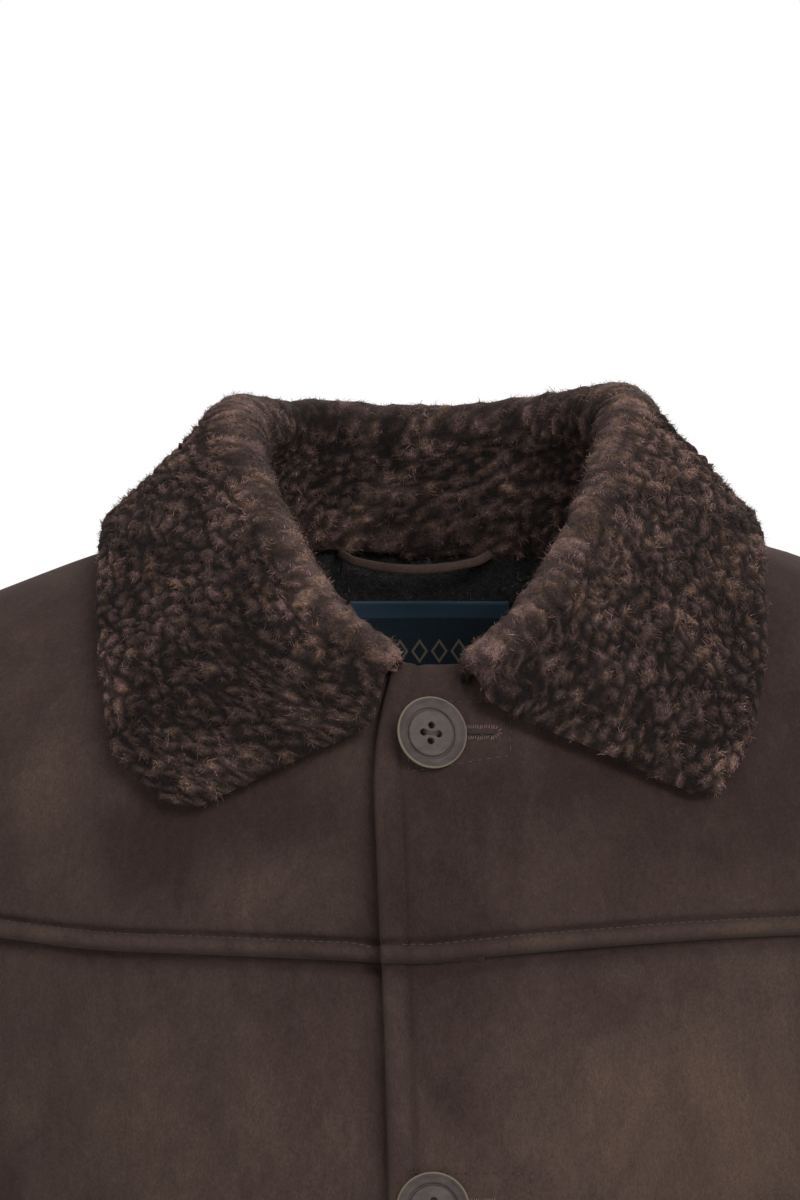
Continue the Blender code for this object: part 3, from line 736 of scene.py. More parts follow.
def neckline(angle, side, seam=SHOULDER_SEAM):
    """Spots of the neckline at angles from the middle of the back."""
    sheet = np.where(angle < 90.0, BACK, FRONT)
    drop = np.where(angle < 90.0, BACK_NECK_DROP, FRONT_NECK_DROP)
    x = side * NECK_HALF * np.sin(np.radians(angle))
    found = spot(x, -drop * np.abs(np.cos(np.radians(angle))), sheet)
    return pairs(found[..., 0], sheet * np.maximum(np.abs(found[..., 1]), seam))


def front_top(share, side):
    """Top of a front yoke: its neckline from the front edge, then its shoulder seam."""
    step = np.asarray(share) * FRONT_STEPS - 1.0
    edge = edge_x(np.array(-FRONT_NECK_DROP), side) * side / NECK_HALF
    before = mix(COLLAR_END_ANGLE, 180.0 - np.degrees(np.arcsin(edge)), -step)
    beside = neck_angle(COLLAR_STEPS - np.clip(step, 0.0, FRONT_NECK_STEPS))
    neck = neckline(np.where(step > 0.0, beside, before), side)
    shoulder = shoulder_seam((step - FRONT_NECK_STEPS) / SHOULDER_STEPS, side, FRONT)
    return np.where((step > FRONT_NECK_STEPS)[..., None], shoulder, neck)


def back_top(share):
    """Top of the back from right to left: shoulder seam, neckline, shoulder seam."""
    share = np.asarray(share)
    step = np.abs(share - 0.5) * BACK_STEPS
    side = np.where(share > 0.5, LEFT, RIGHT)
    neck = neckline(neck_angle(np.minimum(step, BACK_NECK_STEPS)), side)
    beyond = (step - BACK_NECK_STEPS) / SHOULDER_STEPS
    shoulder = pairs(
        side * shoulder_seam(beyond, LEFT, BACK)[..., 0], np.full(share.shape, -SHOULDER_SEAM)
    )
    return np.where((step > BACK_NECK_STEPS)[..., None], shoulder, neck)


def patch(bottom, top, inner, outer, top_reach=1):
    """Spots inside four borders, blended so that each border is kept."""
    ends = np.array((0.0, 1.0))
    low, high = bottom(ends), top(ends)

    def at(across, up):
        s, t = across[:, None], up[:, None]
        place = mix(inner(up), outer(up), s)
        place = place + (bottom(across) - mix(low[:1], low[1:], s)) * (1.0 - t)
        return place + (top(across) - mix(high[:1], high[1:], s)) * t**top_reach

    return at


# --- Meshes ---


def net(name, columns, rows):
    """A grid of cells with UVs, and the share across and up of each of its corners."""
    made = bmesh.new()
    made.loops.layers.uv.new("UVMap")
    bmesh.ops.create_grid(made, x_segments=columns, y_segments=rows, size=0.5, calc_uvs=True)
    mesh = baked(made, name)
    shares = read(mesh) + 0.5
    return mesh, shares[:, 0], shares[:, 1]


def baked(made, mesh):
    """Writes a bmesh into a mesh, given or new by its name, and frees it."""
    if isinstance(mesh, str):
        mesh = bpy.data.meshes.new(mesh)
    made.to_mesh(mesh)
    made.free()
    return mesh


def linked(name, data):
    piece = bpy.data.objects.new(name, data)
    bpy.context.scene.collection.objects.link(piece)
    return piece


def evaluated(piece):
    """A new mesh of a piece with its modifiers applied."""
    seen = piece.evaluated_get(bpy.context.evaluated_depsgraph_get())
    return bpy.data.meshes.new_from_object(seen)


def read(mesh):
    values = np.empty(len(mesh.vertices) * 3, np.float32)
    mesh.vertices.foreach_get("co", values)
    return values.reshape(-1, 3).astype(float)


def write(mesh, points):
    mesh.vertices.foreach_set("co", np.asarray(points, np.float32).ravel())
    mesh.update()


def nearest_border(near, *names):
    return np.minimum.reduce([near[name] for name in names])


def set_values(mesh, name, values):
    """Stores one number for each point of a mesh."""
    layer = mesh.attributes.new(name, "FLOAT", "POINT")
    layer.data.foreach_set("value", values.astype(np.float32))


def vertex_normals(mesh):
    normals = np.empty(len(mesh.vertices) * 3, np.float32)
    mesh.vertices.foreach_get("normal", normals)
    return normals.reshape(-1, 3)


def face_out(mesh, outwards):
    """Turns the faces so that their normals follow the given ones."""
    if np.sum(vertex_normals(mesh) * outwards) < 0.0:
        mesh.flip_normals()


def borders(points, columns, rows):
    """Distance of each corner of a net from its four borders, along the cloth."""
    grid = points.reshape(rows + 1, columns + 1, 3)
    sideways = np.linalg.norm(np.diff(grid, axis=1), axis=-1)
    upwards = np.linalg.norm(np.diff(grid, axis=0), axis=-1)
    left = np.pad(np.cumsum(sideways, axis=1), ((0, 0), (1, 0)))
    low = np.pad(np.cumsum(upwards, axis=0), ((1, 0), (0, 0)))
    return {
        "left": left.ravel(),
        "right": (left[:, -1:] - left).ravel(),
        "low": low.ravel(),
        "high": (low[-1:] - low).ravel(),
    }


def show(mesh, finish, node=None, slot=None, thickness=None):
    """Puts a mesh in the scene on the jacket's body, for a node if it stands for one."""
    piece = linked(mesh.name, mesh)
    mesh.materials.append(finish)
    mesh.shade_smooth()
    if thickness:
        wall = piece.modifiers.new("wall", "SOLIDIFY")
        wall.thickness = thickness
        wall.offset = -1.0
        wall.use_even_offset = False
    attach(piece, "root")
    if node:
        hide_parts(*([node] if isinstance(node, str) else node))
    return piece


def copies(name, one, count):
    """One mesh of many copies of a small mesh, one after another."""
    seed = linked(name, one)
    array = seed.modifiers.new("copies", "ARRAY")
    array.count = count
    array.use_relative_offset = False
    array.use_constant_offset = True
    array.constant_offset_displace = (0.0, 0.0, 0.01)
    mesh = evaluated(seed)
    mesh.name = name
    bpy.data.objects.remove(seed)
    bpy.data.meshes.remove(one)
    return mesh


# --- Finishes ---


SOCKETS = {
    "roughness": "Roughness",
    "gloss": "Specular IOR Level",
    "sheen": "Sheen Weight",
    "sheen_roughness": "Sheen Roughness",
    "sheen_tint": "Sheen Tint",
}


class Nodes:
    """Short ways to build a material's node tree."""

    def __init__(self, name):
        self.material = bpy.data.materials.new(name)
        self.material.use_nodes = True
        self.tree = self.material.node_tree
        self.shader = self.tree.nodes["Principled BSDF"]
        self.place = self.add("ShaderNodeTexCoord").outputs["Object"]

    def add(self, kind, **settings):
        node = self.tree.nodes.new(kind)
        for name, value in settings.items():
            setattr(node, name, value)
        return node

    def plug(self, value, node, socket):
        """Sets a socket to a number or colour, or joins another node's output to it."""
        if isinstance(value, bpy.types.NodeSocket):
            self.tree.links.new(value, node.inputs[socket])
        else:
            colour = isinstance(value, tuple) and node.inputs[socket].type == "RGBA"
            node.inputs[socket].default_value = (*value[:3], 1.0) if colour else value

    def noise(self, scale, detail=2.0, roughness=0.5, stretch=None, distortion=0.0):
        node = self.add("ShaderNodeTexNoise")
        place = self.place
        if stretch:
            mapping = self.add("ShaderNodeMapping")
            self.plug(stretch, mapping, "Scale")
            self.plug(place, mapping, "Vector")
            place = mapping.outputs["Vector"]
        for value, socket in (
            (place, "Vector"),
            (scale, "Scale"),
            (detail, "Detail"),
            (roughness, "Roughness"),
            (distortion, "Distortion"),
        ):
            self.plug(value, node, socket)
        return node.outputs["Fac"]

    def math(self, operation, *values):
        node = self.add("ShaderNodeMath", operation=operation)
        for number, value in enumerate(values):
            self.plug(value, node, number)
        return node.outputs[0]

    def ramp(self, source, *stops):
        """Colours or greys at places along a value."""
        node = self.add("ShaderNodeValToRGB")
        band = node.color_ramp.elements
        while len(band) < len(stops):
            band.new(0.5)
        for stop, (place, colour) in zip(band, stops, strict=True):
            stop.position = place
            stop.color = (*(colour if isinstance(colour, tuple) else (colour,) * 3), 1.0)
        self.plug(source, node, "Fac")
        return node.outputs["Color"]

    def blend(self, kind, share, first, second):
        node = self.add("ShaderNodeMix", data_type="RGBA", blend_type=kind)
        for socket, value in ((0, share), (6, first), (7, second)):
            self.plug(value, node, socket)
        return node.outputs[2]

    def over(self, base, source, *stops):
        """A colour multiplied by the colours at places along a value."""
        return self.blend("MULTIPLY", 1.0, base, self.ramp(source, *stops))

    def uv(self):
        split = self.add("ShaderNodeSeparateXYZ")
        self.plug(self.add("ShaderNodeUVMap", uv_map="UVMap").outputs["UV"], split, "Vector")
        return split.outputs["X"], split.outputs["Y"]

    def bump(self, height, strength, distance, after=None):
        node = self.add("ShaderNodeBump")
        self.plug(strength, node, "Strength")
        self.plug(distance, node, "Distance")
        self.plug(height, node, "Height")
        if after:
            self.plug(after, node, "Normal")
        return node.outputs["Normal"]

    def attribute(self, name):
        return self.add("ShaderNodeAttribute", attribute_name=name).outputs["Fac"]

    def finish(self, base, normal=None, **values):
        """Gives the shader its colour, its relief and the values of its own sockets."""
        self.plug(base, self.shader, "Base Color")
        if normal:
            self.plug(normal, self.shader, "Normal")
        for name, value in values.items():
            self.plug(value, self.shader, SOCKETS[name])
        return self.material


def shade(colour, share):
    return tuple(min(1.0, value * share) for value in colour)


def suede_finish(cloth):
    """Napped faux suede: soft mottling where its pile lies either way, painted light and shade, a
    fine grain.
    """
    suede = Nodes("faux suede")
    colour = tuple(cloth.suede)
    patches = suede.noise(13.0, 3.0, 0.55)
    smudges = suede.noise(46.0, 4.0, 0.62, (1.0, 1.0, 0.6), 0.6)
    strokes = suede.noise(17.0, 3.0, 0.5, (1.0, 1.0, 0.5), 1.6)
    grain = suede.noise(1500.0, 2.0, 0.6, (1.0, 1.0, 0.55))
    specks = suede.noise(420.0, 3.0, 0.7, (1.0, 1.0, 0.5))
    lie = suede.math("MULTIPLY_ADD", patches, 0.40, suede.math("MULTIPLY", smudges, 0.33))
    # Painted light and shade stored on the panels shifts the mottling lighter or darker
    lie = suede.math("MULTIPLY_ADD", suede.attribute("nap_and_painted_light"), 0.33, lie)
    base = suede.ramp(
        lie,
        (0.38, tinted(colour, (0.66, 0.61, 0.63))),
        (0.54, colour),
        (0.70, tinted(colour, (1.43, 1.42, 1.31))),
    )
    base = suede.over(
        base,
        strokes,
        (0.455, (0.92, 0.90, 0.91)),
        (0.475, 1.0),
        (0.555, 1.0),
        (0.570, (1.06, 1.07, 1.04)),
    )
    base = suede.over(base, grain, (0.30, 0.78), (0.70, (1.20, 1.18, 1.16)))
    base = suede.over(base, specks, (0.35, (0.90, 0.89, 0.89)), (0.68, (1.10, 1.09, 1.08)))
    return suede.finish(
        base,
        suede.bump(grain, 0.45, 0.00025, suede.bump(smudges, 0.25, 0.0010)),
        roughness=0.92,
        gloss=0.12,
        sheen=0.08,
        sheen_roughness=0.55,
        sheen_tint=(0.62, 0.48, 0.42, 1.0),
    )


def tinted(colour, tint):
    return tuple(value * share for value, share in zip(colour, tint, strict=True))


def pile_finish(name, root, tip, sheen):
    """Pile whose strands run from a dark root, partly painted shade, to a lighter tip, each with
    its own brightness.
    """
    pile = Nodes(name)
    bright, up = pile.uv()
    base = pile.ramp(up, (0.0, root), (0.5, mixed(root, tip, 0.50)), (1.0, tip))
    # The brightness in each point's UV holds painted light and shade besides its own random
    # lightness
    base = pile.over(
        base,
        bright,
        (0.10, (0.13, 0.12, 0.12)),
        (0.50, (0.59, 0.56, 0.555)),
        (0.98, (2.66, 2.50, 2.48)),
    )
    curls = pile.noise(420.0, 3.0, 0.65, None, 0.8)
    base = pile.over(base, curls, (0.36, 0.68), (0.64, (1.36, 1.34, 1.34)))
    grain = pile.noise(1150.0, 3.0, 0.75, None, 1.2)
    base = pile.over(base, grain, (0.34, 0.40), (0.68, (1.80, 1.77, 1.77)))
    hues = pile.noise(150.0, 2.0, 0.6)
    base = pile.over(
        base, hues, (0.38, (1.03, 0.97, 1.05)), (0.50, 1.0), (0.66, (1.10, 1.03, 0.85))
    )
    return pile.finish(
        base,
        pile.bump(grain, 0.6, 0.0006),
        roughness=0.85,
        gloss=0.18,
        sheen=sheen,
        sheen_roughness=0.5,
        sheen_tint=(0.66, 0.50, 0.46, 1.0),
    )


def mixed(first, second, share):
    return tuple(mix(a, b, share) for a, b in zip(first, second, strict=True))


def thread_finish(cloth, name="sewing thread", share=1.0):
    """Spun sewing thread with a light twist."""
    thread = Nodes(name)
    strands = thread.noise(2600.0, 1.0, 0.5)
    colour = shade(cloth.thread, share)
    base = thread.ramp(strands, (0.35, shade(colour, 0.65)), (0.65, shade(colour, 1.3)))
    relief = thread.bump(strands, 0.4, 0.0001)
    return thread.finish(base, relief, roughness=0.55, gloss=0.4, sheen=0.15)


def button_finish(cloth):
    """Cast horn-look plastic: cloudy taupe with a painted yellowish highlight along its thin edge.
    """
    button = Nodes("horn-look plastic")
    clouds = button.noise(150.0, 3.0, 0.6, (1.0, 1.0, 2.2))
    flecks = button.noise(900.0, 2.0, 0.6)
    colour = tuple(cloth.button)
    base = button.ramp(clouds, (0.32, shade(colour, 0.80)), (0.66, shade(colour, 1.18)))
    base = button.over(base, flecks, (0.35, 0.93), (0.65, (1.06, 1.05, 1.03)))
    base = button.blend("MIX", button.attribute("rim_highlight"), base, tuple(cloth.button_rim_highlight))
    return button.finish(base, button.bump(flecks, 0.10, 0.0002), roughness=0.62, gloss=0.28)


def label_finish(cloth):
    """Navy satin weave with a lighter band along its top and a row of woven lozenges."""
    label = Nodes("woven label")
    along, up = label.uv()
    warp = label.noise(1.0, 1.0, 0.5, (5200.0, 900.0, 900.0))
    weft = label.noise(1.0, 1.0, 0.5, (700.0, 3600.0, 3600.0))
    colour = tuple(cloth.label)
    navy = label.ramp(warp, (0.35, shade(colour, 0.62)), (0.65, shade(colour, 1.4)))
    navy = label.over(navy, weft, (0.3, 0.75), (0.7, 1.2))
    band = label.math("GREATER_THAN", up, LABEL_BAND)
    base = label.blend("MIX", band, navy, tinted(colour, (3.4, 3.1, 3.0)))
    low, high = LABEL_ROW
    across = label.math("FRACT", label.math("MULTIPLY", along, LABEL_LOZENGES))
    across = label.math("ABSOLUTE", label.math("SUBTRACT", across, 0.5))
    upward = label.math("SUBTRACT", up, (low + high) / 2.0)
    upward = label.math("ABSOLUTE", label.math("DIVIDE", upward, high - low))
    reach = label.math("ADD", across, upward)
    outline = label.math("COMPARE", reach, 0.36, 0.07)
    base = label.blend("MIX", outline, base, tuple(cloth.label_rule))
    relief = label.bump(label.math("ADD", warp, weft), 0.5, 0.0002)
    return label.finish(base, relief, roughness=0.6, gloss=0.4, sheen=0.15)


# --- The cloth's own relief ---


def lap_lift(x, side):
    """How far the left front stands off the form where it laps over the right."""
    if side == RIGHT:
        return np.zeros(np.shape(x))
    return LAP_LIFT * (1.0 - smooth((x - UNDER_EDGE_X - LAP_MARGIN) / LAP_FADE))


def rounded_rim(distance, width):
    """Rises from 0 on a border to 1 at that width, as a quarter circle."""
    near = np.clip(1.0 - distance / width, 0.0, 1.0)
    return np.sqrt(np.maximum(1.0 - near**2, 0.0))


def folded_edge(distance, edge):
    """Relief of a folded edge: padded up to its line of stitching, which pulls it in."""
    stitch, puff, dip, width, drop = edge
    past = distance - stitch
    padded = puff * np.sin(np.pi * np.clip(distance / stitch, 0.0, 1.0)) ** 0.7
    beyond = 0.45 * puff * smooth(past / 0.004) * (1.0 - smooth(past / 0.028))
    relief = np.where(past < 0.0, padded, beyond) - dip * bell(past, STITCH_HALF)
    return relief - drop * (1.0 - rounded_rim(distance, width))


def puckers(points, distance, stitch, seed):
    """Small gathers beside a line of stitching."""
    return 0.00035 * cloud(points, 0.011, seed) * bell(distance - stitch, 0.007)


def sway(points, seed, free):
    """The slight unevenness of any hanging cloth, more where it hangs free."""
    uneven = 0.0007 * cloud(points, 0.075, seed) + 0.00022 * cloud(points, 0.028, seed + 1)
    return uneven * (0.3 + 0.7 * free)


def settled(near, *borders_sewn):
    """0 on the borders that are sewn, 1 away from them."""
    share = 1.0
    for border in borders_sewn:
        share = share * smooth(near[border] / SETTLE)
    return share


def seam_dip(near, *borders_sewn):
    return sum(SEAM_DIP * bell(near[border], SEAM_HALF) for border in borders_sewn)


# --- Panels of the body ---


def mottle_and_paint_light(mesh, points, front=False, lighter=0.0):
    """Stores how the pile lies, with painted light and shade, from 0, darker, to 1, lighter."""
    nap_and_painted_light = lighter + 0.45 * cloud(points, 0.085, 201) + 0.20 * cloud(points, 0.035, 202)
    if front:
        nap_and_painted_light *= 0.6
        x, z = points[:, 0], points[:, 2]
        for middle_x, middle_z, half_wide, half_tall, share in NAP_AND_SHADE_PATCHES:
            off = ((x - middle_x) / half_wide) ** 2 + ((z - middle_z) / half_tall) ** 2
            nap_and_painted_light += share * np.exp(-off)
        placket = smooth((x - edge_x(z, LEFT)) / NAP_EDGE_FADE)
        placket *= smooth((PATCH_X[1] - x) / NAP_EDGE_FADE) * smooth((z + 0.23) / 0.06)
        nap_and_painted_light -= 0.4 * placket
    set_values(mesh, "nap_and_painted_light", 0.5 + 0.5 * np.clip(nap_and_painted_light, -1.0, 1.0))


def raised(points):
    """Points of the shoulders, lifted to where each shoulder is held."""
    x, z = points[:, 0], points[:, 2]
    share = smooth((np.abs(x) - 0.100) / 0.048) * smooth((z + 0.150) / 0.080)
    up = np.where(x > 0.0, SHOULDER_RAISE[LEFT], SHOULDER_RAISE[RIGHT]) * share
    return points + np.stack([np.zeros_like(x), np.zeros_like(x), up], -1)


def finish_panel(mesh, spots, lift, node, finish, front=True, painted_shading=0.0):
    """Lays a net on the form, finds the side its faces point to and shows it as a wall of cloth."""
    write(mesh, raised(on_form(spots, lift)))
    mottle_and_paint_light(mesh, read(mesh), front, painted_shading)
    face_out(mesh, outward(spots))
    return show(mesh, finish, node, "faux_suede", WALL)


@lru_cache
def seam_samples(side):
    """Distances from the middle and heights of the yoke seam, sampled."""
    place = form(yoke_seam(np.linspace(0.0, 1.0, 121), side))
    order = np.argsort(place[:, 0] * side)
    return place[order, 0] * side, place[order, 2]


def above_seam(points, side):
    reach, height = seam_samples(side)
    return points[:, 2] - np.interp(points[:, 0] * side, reach, height)


def edge_relief(points, side):
    """Relief of the left front's folded and stitched edge, and the right front's dip below it."""
    distance = points[:, 0] - edge_x(points[:, 2], LEFT)
    if side == RIGHT:
        below = smooth((UNDER_DIP_FROM - points[:, 2]) / UNDER_DIP_OVER)
        return ridge(distance - UNDER_DIP_AT, *UNDER_DIP) * below
    return folded_edge(distance, FRONT_EDGE) + puckers(points, distance, EDGE_STITCH, 31)


def patch_relief(points):
    """The rectangles of stitching round the buttonholes, and the dents under the buttons."""
    x, relief = points[:, 0], np.zeros(len(points))
    for button_z in BUTTON_Z:
        z = points[:, 2] - button_z
        low, high = PATCH_X[0], PATCH_X[1] - (TOP_PATCH_SHORTER if button_z == BUTTON_Z[0] else 0.0)
        x_off = np.abs(x - (low + high) / 2) - (high - low) / 2
        z_off = np.abs(z) - PATCH_HALF
        outside = np.hypot(np.maximum(x_off, 0.0), np.maximum(z_off, 0.0))
        off = outside + np.minimum(np.maximum(x_off, z_off), 0.0)
        relief += PATCH_RISE * smooth(-off / PATCH_RISE_OVER) - ridge(off, *PATCH_GROOVE)
        relief -= ridge(np.hypot(x - BUTTON_X, z), *BUTTON_DENT)
        slit = np.hypot(np.clip(x, BUTTON_X, HOLE_END_X) - x, z)
        relief += ridge(slit - SLIT_RIM_AT, *SLIT_RIM) * (x > BUTTON_X)
        relief -= ridge(slit, *SLIT) * (x > BUTTON_X)
    return relief


def fold_relief(points, rows, side):
    """Relief of a table of folds whose x is measured towards that side."""
    return furrows(np.stack([points[:, 0] * side, points[:, 2]], -1), rows)


def make_front(side, finish):
    columns, rows = NETS["front"]

    def hem(share):
        start = spot(edge_x(np.array(HEM_Z), side), HEM_Z, FRONT)[0]
        return level(mix(start, side * (QUARTER - SIDE_SEAM), share), HEM_Z, FRONT)

    def edge(share):
        z = mix(HEM_Z, YOKE_Z + YOKE_LAP, share)
        return spot(edge_x(z, side), z, FRONT)

    def top(share):
        start = spot(edge_x(np.array(YOKE_Z), side), YOKE_Z, FRONT)[0]
        end = armhole(YOKE_SHARE + YOKE_LAP_SHARE, side, FRONT)
        turn = mix(start, end[0], share)
        line = form(yoke_seam(share, side))[..., 2]
        z = mix(line + YOKE_LAP, form(end)[2], smooth(1.0 - (1.0 - share) / YOKE_END_SHARE))
        return level(turn, z, FRONT)

    def outer(share):
        return outer_border(share, side, FRONT, SIDE_SHARE, YOKE_SHARE + YOKE_LAP_SHARE)

    mesh, across, up = net("front_" + WORD[side] + "_cloth", columns, rows)
    across = crowd_edge(across) if side == LEFT else across
    holes = [((z - HEM_Z) / (YOKE_Z + YOKE_LAP - HEM_Z), 0.030, 4.0) for z in BUTTON_Z[1:]]
    up = crowded(up, (0.985, 0.010, 4.0), *(holes if side == LEFT else ()))
    spots = patch(hem, top, edge, outer)(across, up)
    points = form(spots)
    near = borders(points, columns, rows)
    over = above_seam(points, side)
    lift = lap_lift(points[:, 0], side) + edge_relief(points, side)
    sunk = SUNK
    if side == LEFT:
        sunk = mix(SUNK_LAP, SUNK, smooth((points[:, 0] - UNDER_EDGE_X) / 0.02))
    lift -= sunk * smooth((over - SUNK_FROM) / SUNK_OVER)
    lift -= ridge(over - SUNK_DIP_AT, *SUNK_DIP)
    free = settled(near, "right") * smooth(-over / 0.03)
    lift += fold_relief(points, FRONT_FOLDS, side) * free
    lift += sway(points, 5 + side, free)
    lift -= seam_dip(near, "right")
    lift += folded_edge(near["low"], HEM_EDGE)
    # Painted shadow just below the yoke's folded edge
    painted_shading = -0.8 * bell(over + 0.0020, 0.0032)
    # Painted shade along the front edge's stitching
    if side == LEFT:
        lift += patch_relief(points)
        painted_shading -= 0.6 * stitched_front(points)
    return finish_panel(mesh, spots, lift, "front_" + WORD[side], finish, painted_shading=painted_shading)


def stitched_front(points):
    """1 along the stitching of the front edge."""
    return bell(points[:, 0] - edge_x(points[:, 2], LEFT) - EDGE_STITCH, STITCH_HALF)


def crowd_edge(share):
    """Shares gathered towards the front edge and the buttonholes, where the relief is finest."""
    return crowded(share, (0.0, 0.07, 6.0), (0.15, 0.13, 2.5))


def make_yoke(side, finish):
    columns, rows = NETS["yoke"]

    def edge(share):
        z = mix(YOKE_Z, -FRONT_NECK_DROP, share)
        corner = front_top(np.array(0.0), side)
        start = spot(edge_x(z, side), z, FRONT)
        return mix(start, corner, smooth(1.0 - (1.0 - share) / YOKE_TOP_SHARE)[..., None])

    at = patch(
        lambda s: yoke_seam(s, side),
        lambda s: front_top(s, side),
        edge,
        lambda s: armhole(mix(YOKE_SHARE, 1.0, s), side, FRONT),
    )
    mesh, across, up = net("yoke_" + WORD[side] + "_cloth", columns, rows)
    up = crowded(up, (0.0, 0.09, 6.0), *([(0.78, 0.16, 2.5)] if side == LEFT else []))
    across = crowd_edge(across) if side == LEFT else across
    spots = at(across, up)
    points = form(spots)
    near = borders(points, columns, rows)
    over = np.maximum(above_seam(points, side), 0.0)
    lift = lap_lift(points[:, 0], side) + edge_relief(points, side)
    lift += 0.0009 * (1.0 - smooth(over / 0.022))
    lift += folded_edge(over, YOKE_EDGE)
    lift += puckers(points, over, YOKE_STITCH, 37)
    free = settled(near, "right", "high") * smooth(over / 0.02)
    lift += fold_relief(points, FRONT_FOLDS, side) * free
    lift += sway(points, 9 + side, free)
    lift -= seam_dip(near, "right") + TOP_SEAM_DIP * bell(near["high"], TOP_SEAM_HALF)
    # Painted light at the yoke's fold: a highlight on its padded band, shade at its stitching and
    # under it
    painted_shading = 0.55 * bell(over - 0.0036, 0.0024) - 0.95 * bell(over - 0.0079, 0.0012)
    painted_shading -= 0.5 * bell(over, 0.0010)
    # Painted shade along the front edge's stitching
    if side == LEFT:
        lift += patch_relief(points)
        painted_shading -= 0.4 * stitched_front(points)
    return finish_panel(mesh, spots, lift, "yoke_" + WORD[side], finish, painted_shading=painted_shading)


def back_patch():
    return patch(
        lambda s: level(mix(-1.0, 1.0, s) * (QUARTER - SIDE_SEAM), HEM_Z, BACK),
        back_top,
        lambda s: outer_border(s, RIGHT, BACK, BACK_SIDE_SHARE),
        lambda s: outer_border(s, LEFT, BACK, BACK_SIDE_SHARE),
        top_reach=3,
    )


def make_back(finish):
    columns, rows = NETS["back"]
    mesh, across, up = net("back_cloth", columns, rows)
    spots = back_patch()(across, up)
    points = form(spots)
    near = borders(points, columns, rows)
    free = settled(near, "left", "right") * smooth(near["high"] / 0.02)
    lift = fold_relief(points, BACK_FOLDS, LEFT) * free + sway(points, 17, free)
    lift -= seam_dip(near, "left", "right")
    lift -= TOP_SEAM_DIP * bell(near["high"], TOP_SEAM_HALF)
    lift += folded_edge(near["low"], HEM_EDGE)
    return finish_panel(mesh, spots, lift, "back", finish, front=False)


# --- Sleeves ---


def sleeve_ring(share, row):
    """Points of a left sleeve section; share 0 is under the arm, 0.25 in front, 0.5 outside."""
    x, y, z, half_wide, half_deep = row
    angle = math.tau * share
    level_way = unit(np.array((1.0, 0.0, SLEEVE_LEAN)))
    across = -np.cos(angle)[:, None] * half_wide * level_way
    deep = np.sin(angle)[:, None] * half_deep * np.array((0.0, -1.0, 0.0))
    return np.array((x, y, z)) + across + deep


def armhole_ring(share):
    """Points of the left armhole and the ways the sleeve leaves it."""
    up = 1.0 - np.abs(1.0 - 2.0 * share)
    front = (share < 0.5)[:, None]

    def at(height):
        return np.where(front, armhole(height, LEFT, FRONT), armhole(height, LEFT, BACK))

    here = at(up)
    above = form(at(np.minimum(up + ARMHOLE_STEP, 1.0)))
    below = form(at(np.maximum(up - ARMHOLE_STEP, 0.0)))
    sheet = np.where(front, 1.0, -1.0)
    square = unit(np.cross((above - below) * sheet, outward(here)))
    turned = smooth((up - SLEEVE_TURN_FROM) / SLEEVE_TURN_OVER)[:, None]
    leave = unit(mix(np.array(SLEEVE_HANG), square, turned))
    return form(here), leave


def sleeve_points(share, down, side):
    """Points of a sleeve; down runs from the armhole, 0, to the cuff, 1."""
    start, leave = armhole_ring(share)
    rings = [start - leave * SLEEVE_LAP, start + leave * SLEEVE_START]
    rings += [sleeve_ring(share, row) for row in SLEEVE]
    rings = np.stack(rings)
    steps = np.linalg.norm(np.diff(rings, axis=0), axis=-1)
    places = np.vstack([np.zeros(len(share)), np.cumsum(steps, axis=0)])
    at = places[-1] * down**SLEEVE_CROWDING
    gaps = np.diff(places, axis=0)
    slopes = knot_slopes(rings, gaps[..., None])
    k = np.clip((at >= places).sum(0) - 1, 0, len(gaps) - 1)
    each = np.arange(len(share))
    span = gaps[k, each]
    s = np.clip((at - places[k, each]) / span, 0.0, 1.0)[:, None]
    leaves, arrives = slopes[k, each] * span[:, None], slopes[k + 1, each] * span[:, None]
    found = hermite(rings[k, each], leaves, rings[k + 1, each], arrives, s)
    return found * np.array((side, 1.0, 1.0)), at


def make_sleeve(side, finish):
    columns, rows = NETS["sleeve"]
    mesh, around, up = net("sleeve_" + WORD[side] + "_cloth", columns, rows)
    share = (around * side) % 1.0
    down = 1.0 - up

    def at(around, down):
        return sleeve_points((around * side) % 1.0, np.clip(down, 0.0, 1.0), side)[0]

    points, length = sleeve_points(share, down, side)
    step = 0.003
    sideways = at(around + step, down) - at(around - step, down)
    upward = at(around, down - step) - at(around, down + step)
    normal = unit(np.cross(sideways, upward))
    girth = borders(points, columns, rows)
    around_way = girth["left"] if side == LEFT else girth["right"]
    total = girth["left"] + girth["right"]
    around_way = np.where(around_way > total / 2, around_way - total, around_way)
    whole = SLEEVE_FOLDS + tuple(
        (start + shift, start_down, end + shift, *rest)
        for start, start_down, end, *rest in SLEEVE_FOLDS
        for shift in (-SLEEVE_ROUND, SLEEVE_ROUND)
    )
    free = smooth(length / 0.02) * smooth(girth["low"] / 0.02)
    lift = furrows(np.stack([around_way, length], -1), whole) * free + sway(points, 23, free)
    lift -= 0.0013 * bell(length, 0.0040)
    lift += 0.0010 * bell(length - 0.010, 0.007) * smooth(np.minimum(share, 1.0 - share) / 0.2)
    lift -= 0.0010 * bell(np.abs(around_way), SEAM_HALF)
    lift += folded_edge(girth["low"], HEM_EDGE)
    write(mesh, raised(points + normal * lift[:, None]))
    close_tube(mesh)
    mottle_and_paint_light(mesh, read(mesh))
    face_out_by_middle(mesh, rows)
    return show(mesh, finish, "sleeve_" + WORD[side], "faux_suede", WALL)


def close_tube(mesh):
    """Joins the two long borders of a net that has been laid round a tube."""
    made = bmesh.new()
    made.from_mesh(mesh)
    bmesh.ops.remove_doubles(made, verts=made.verts, dist=0.00002)
    baked(made, mesh)


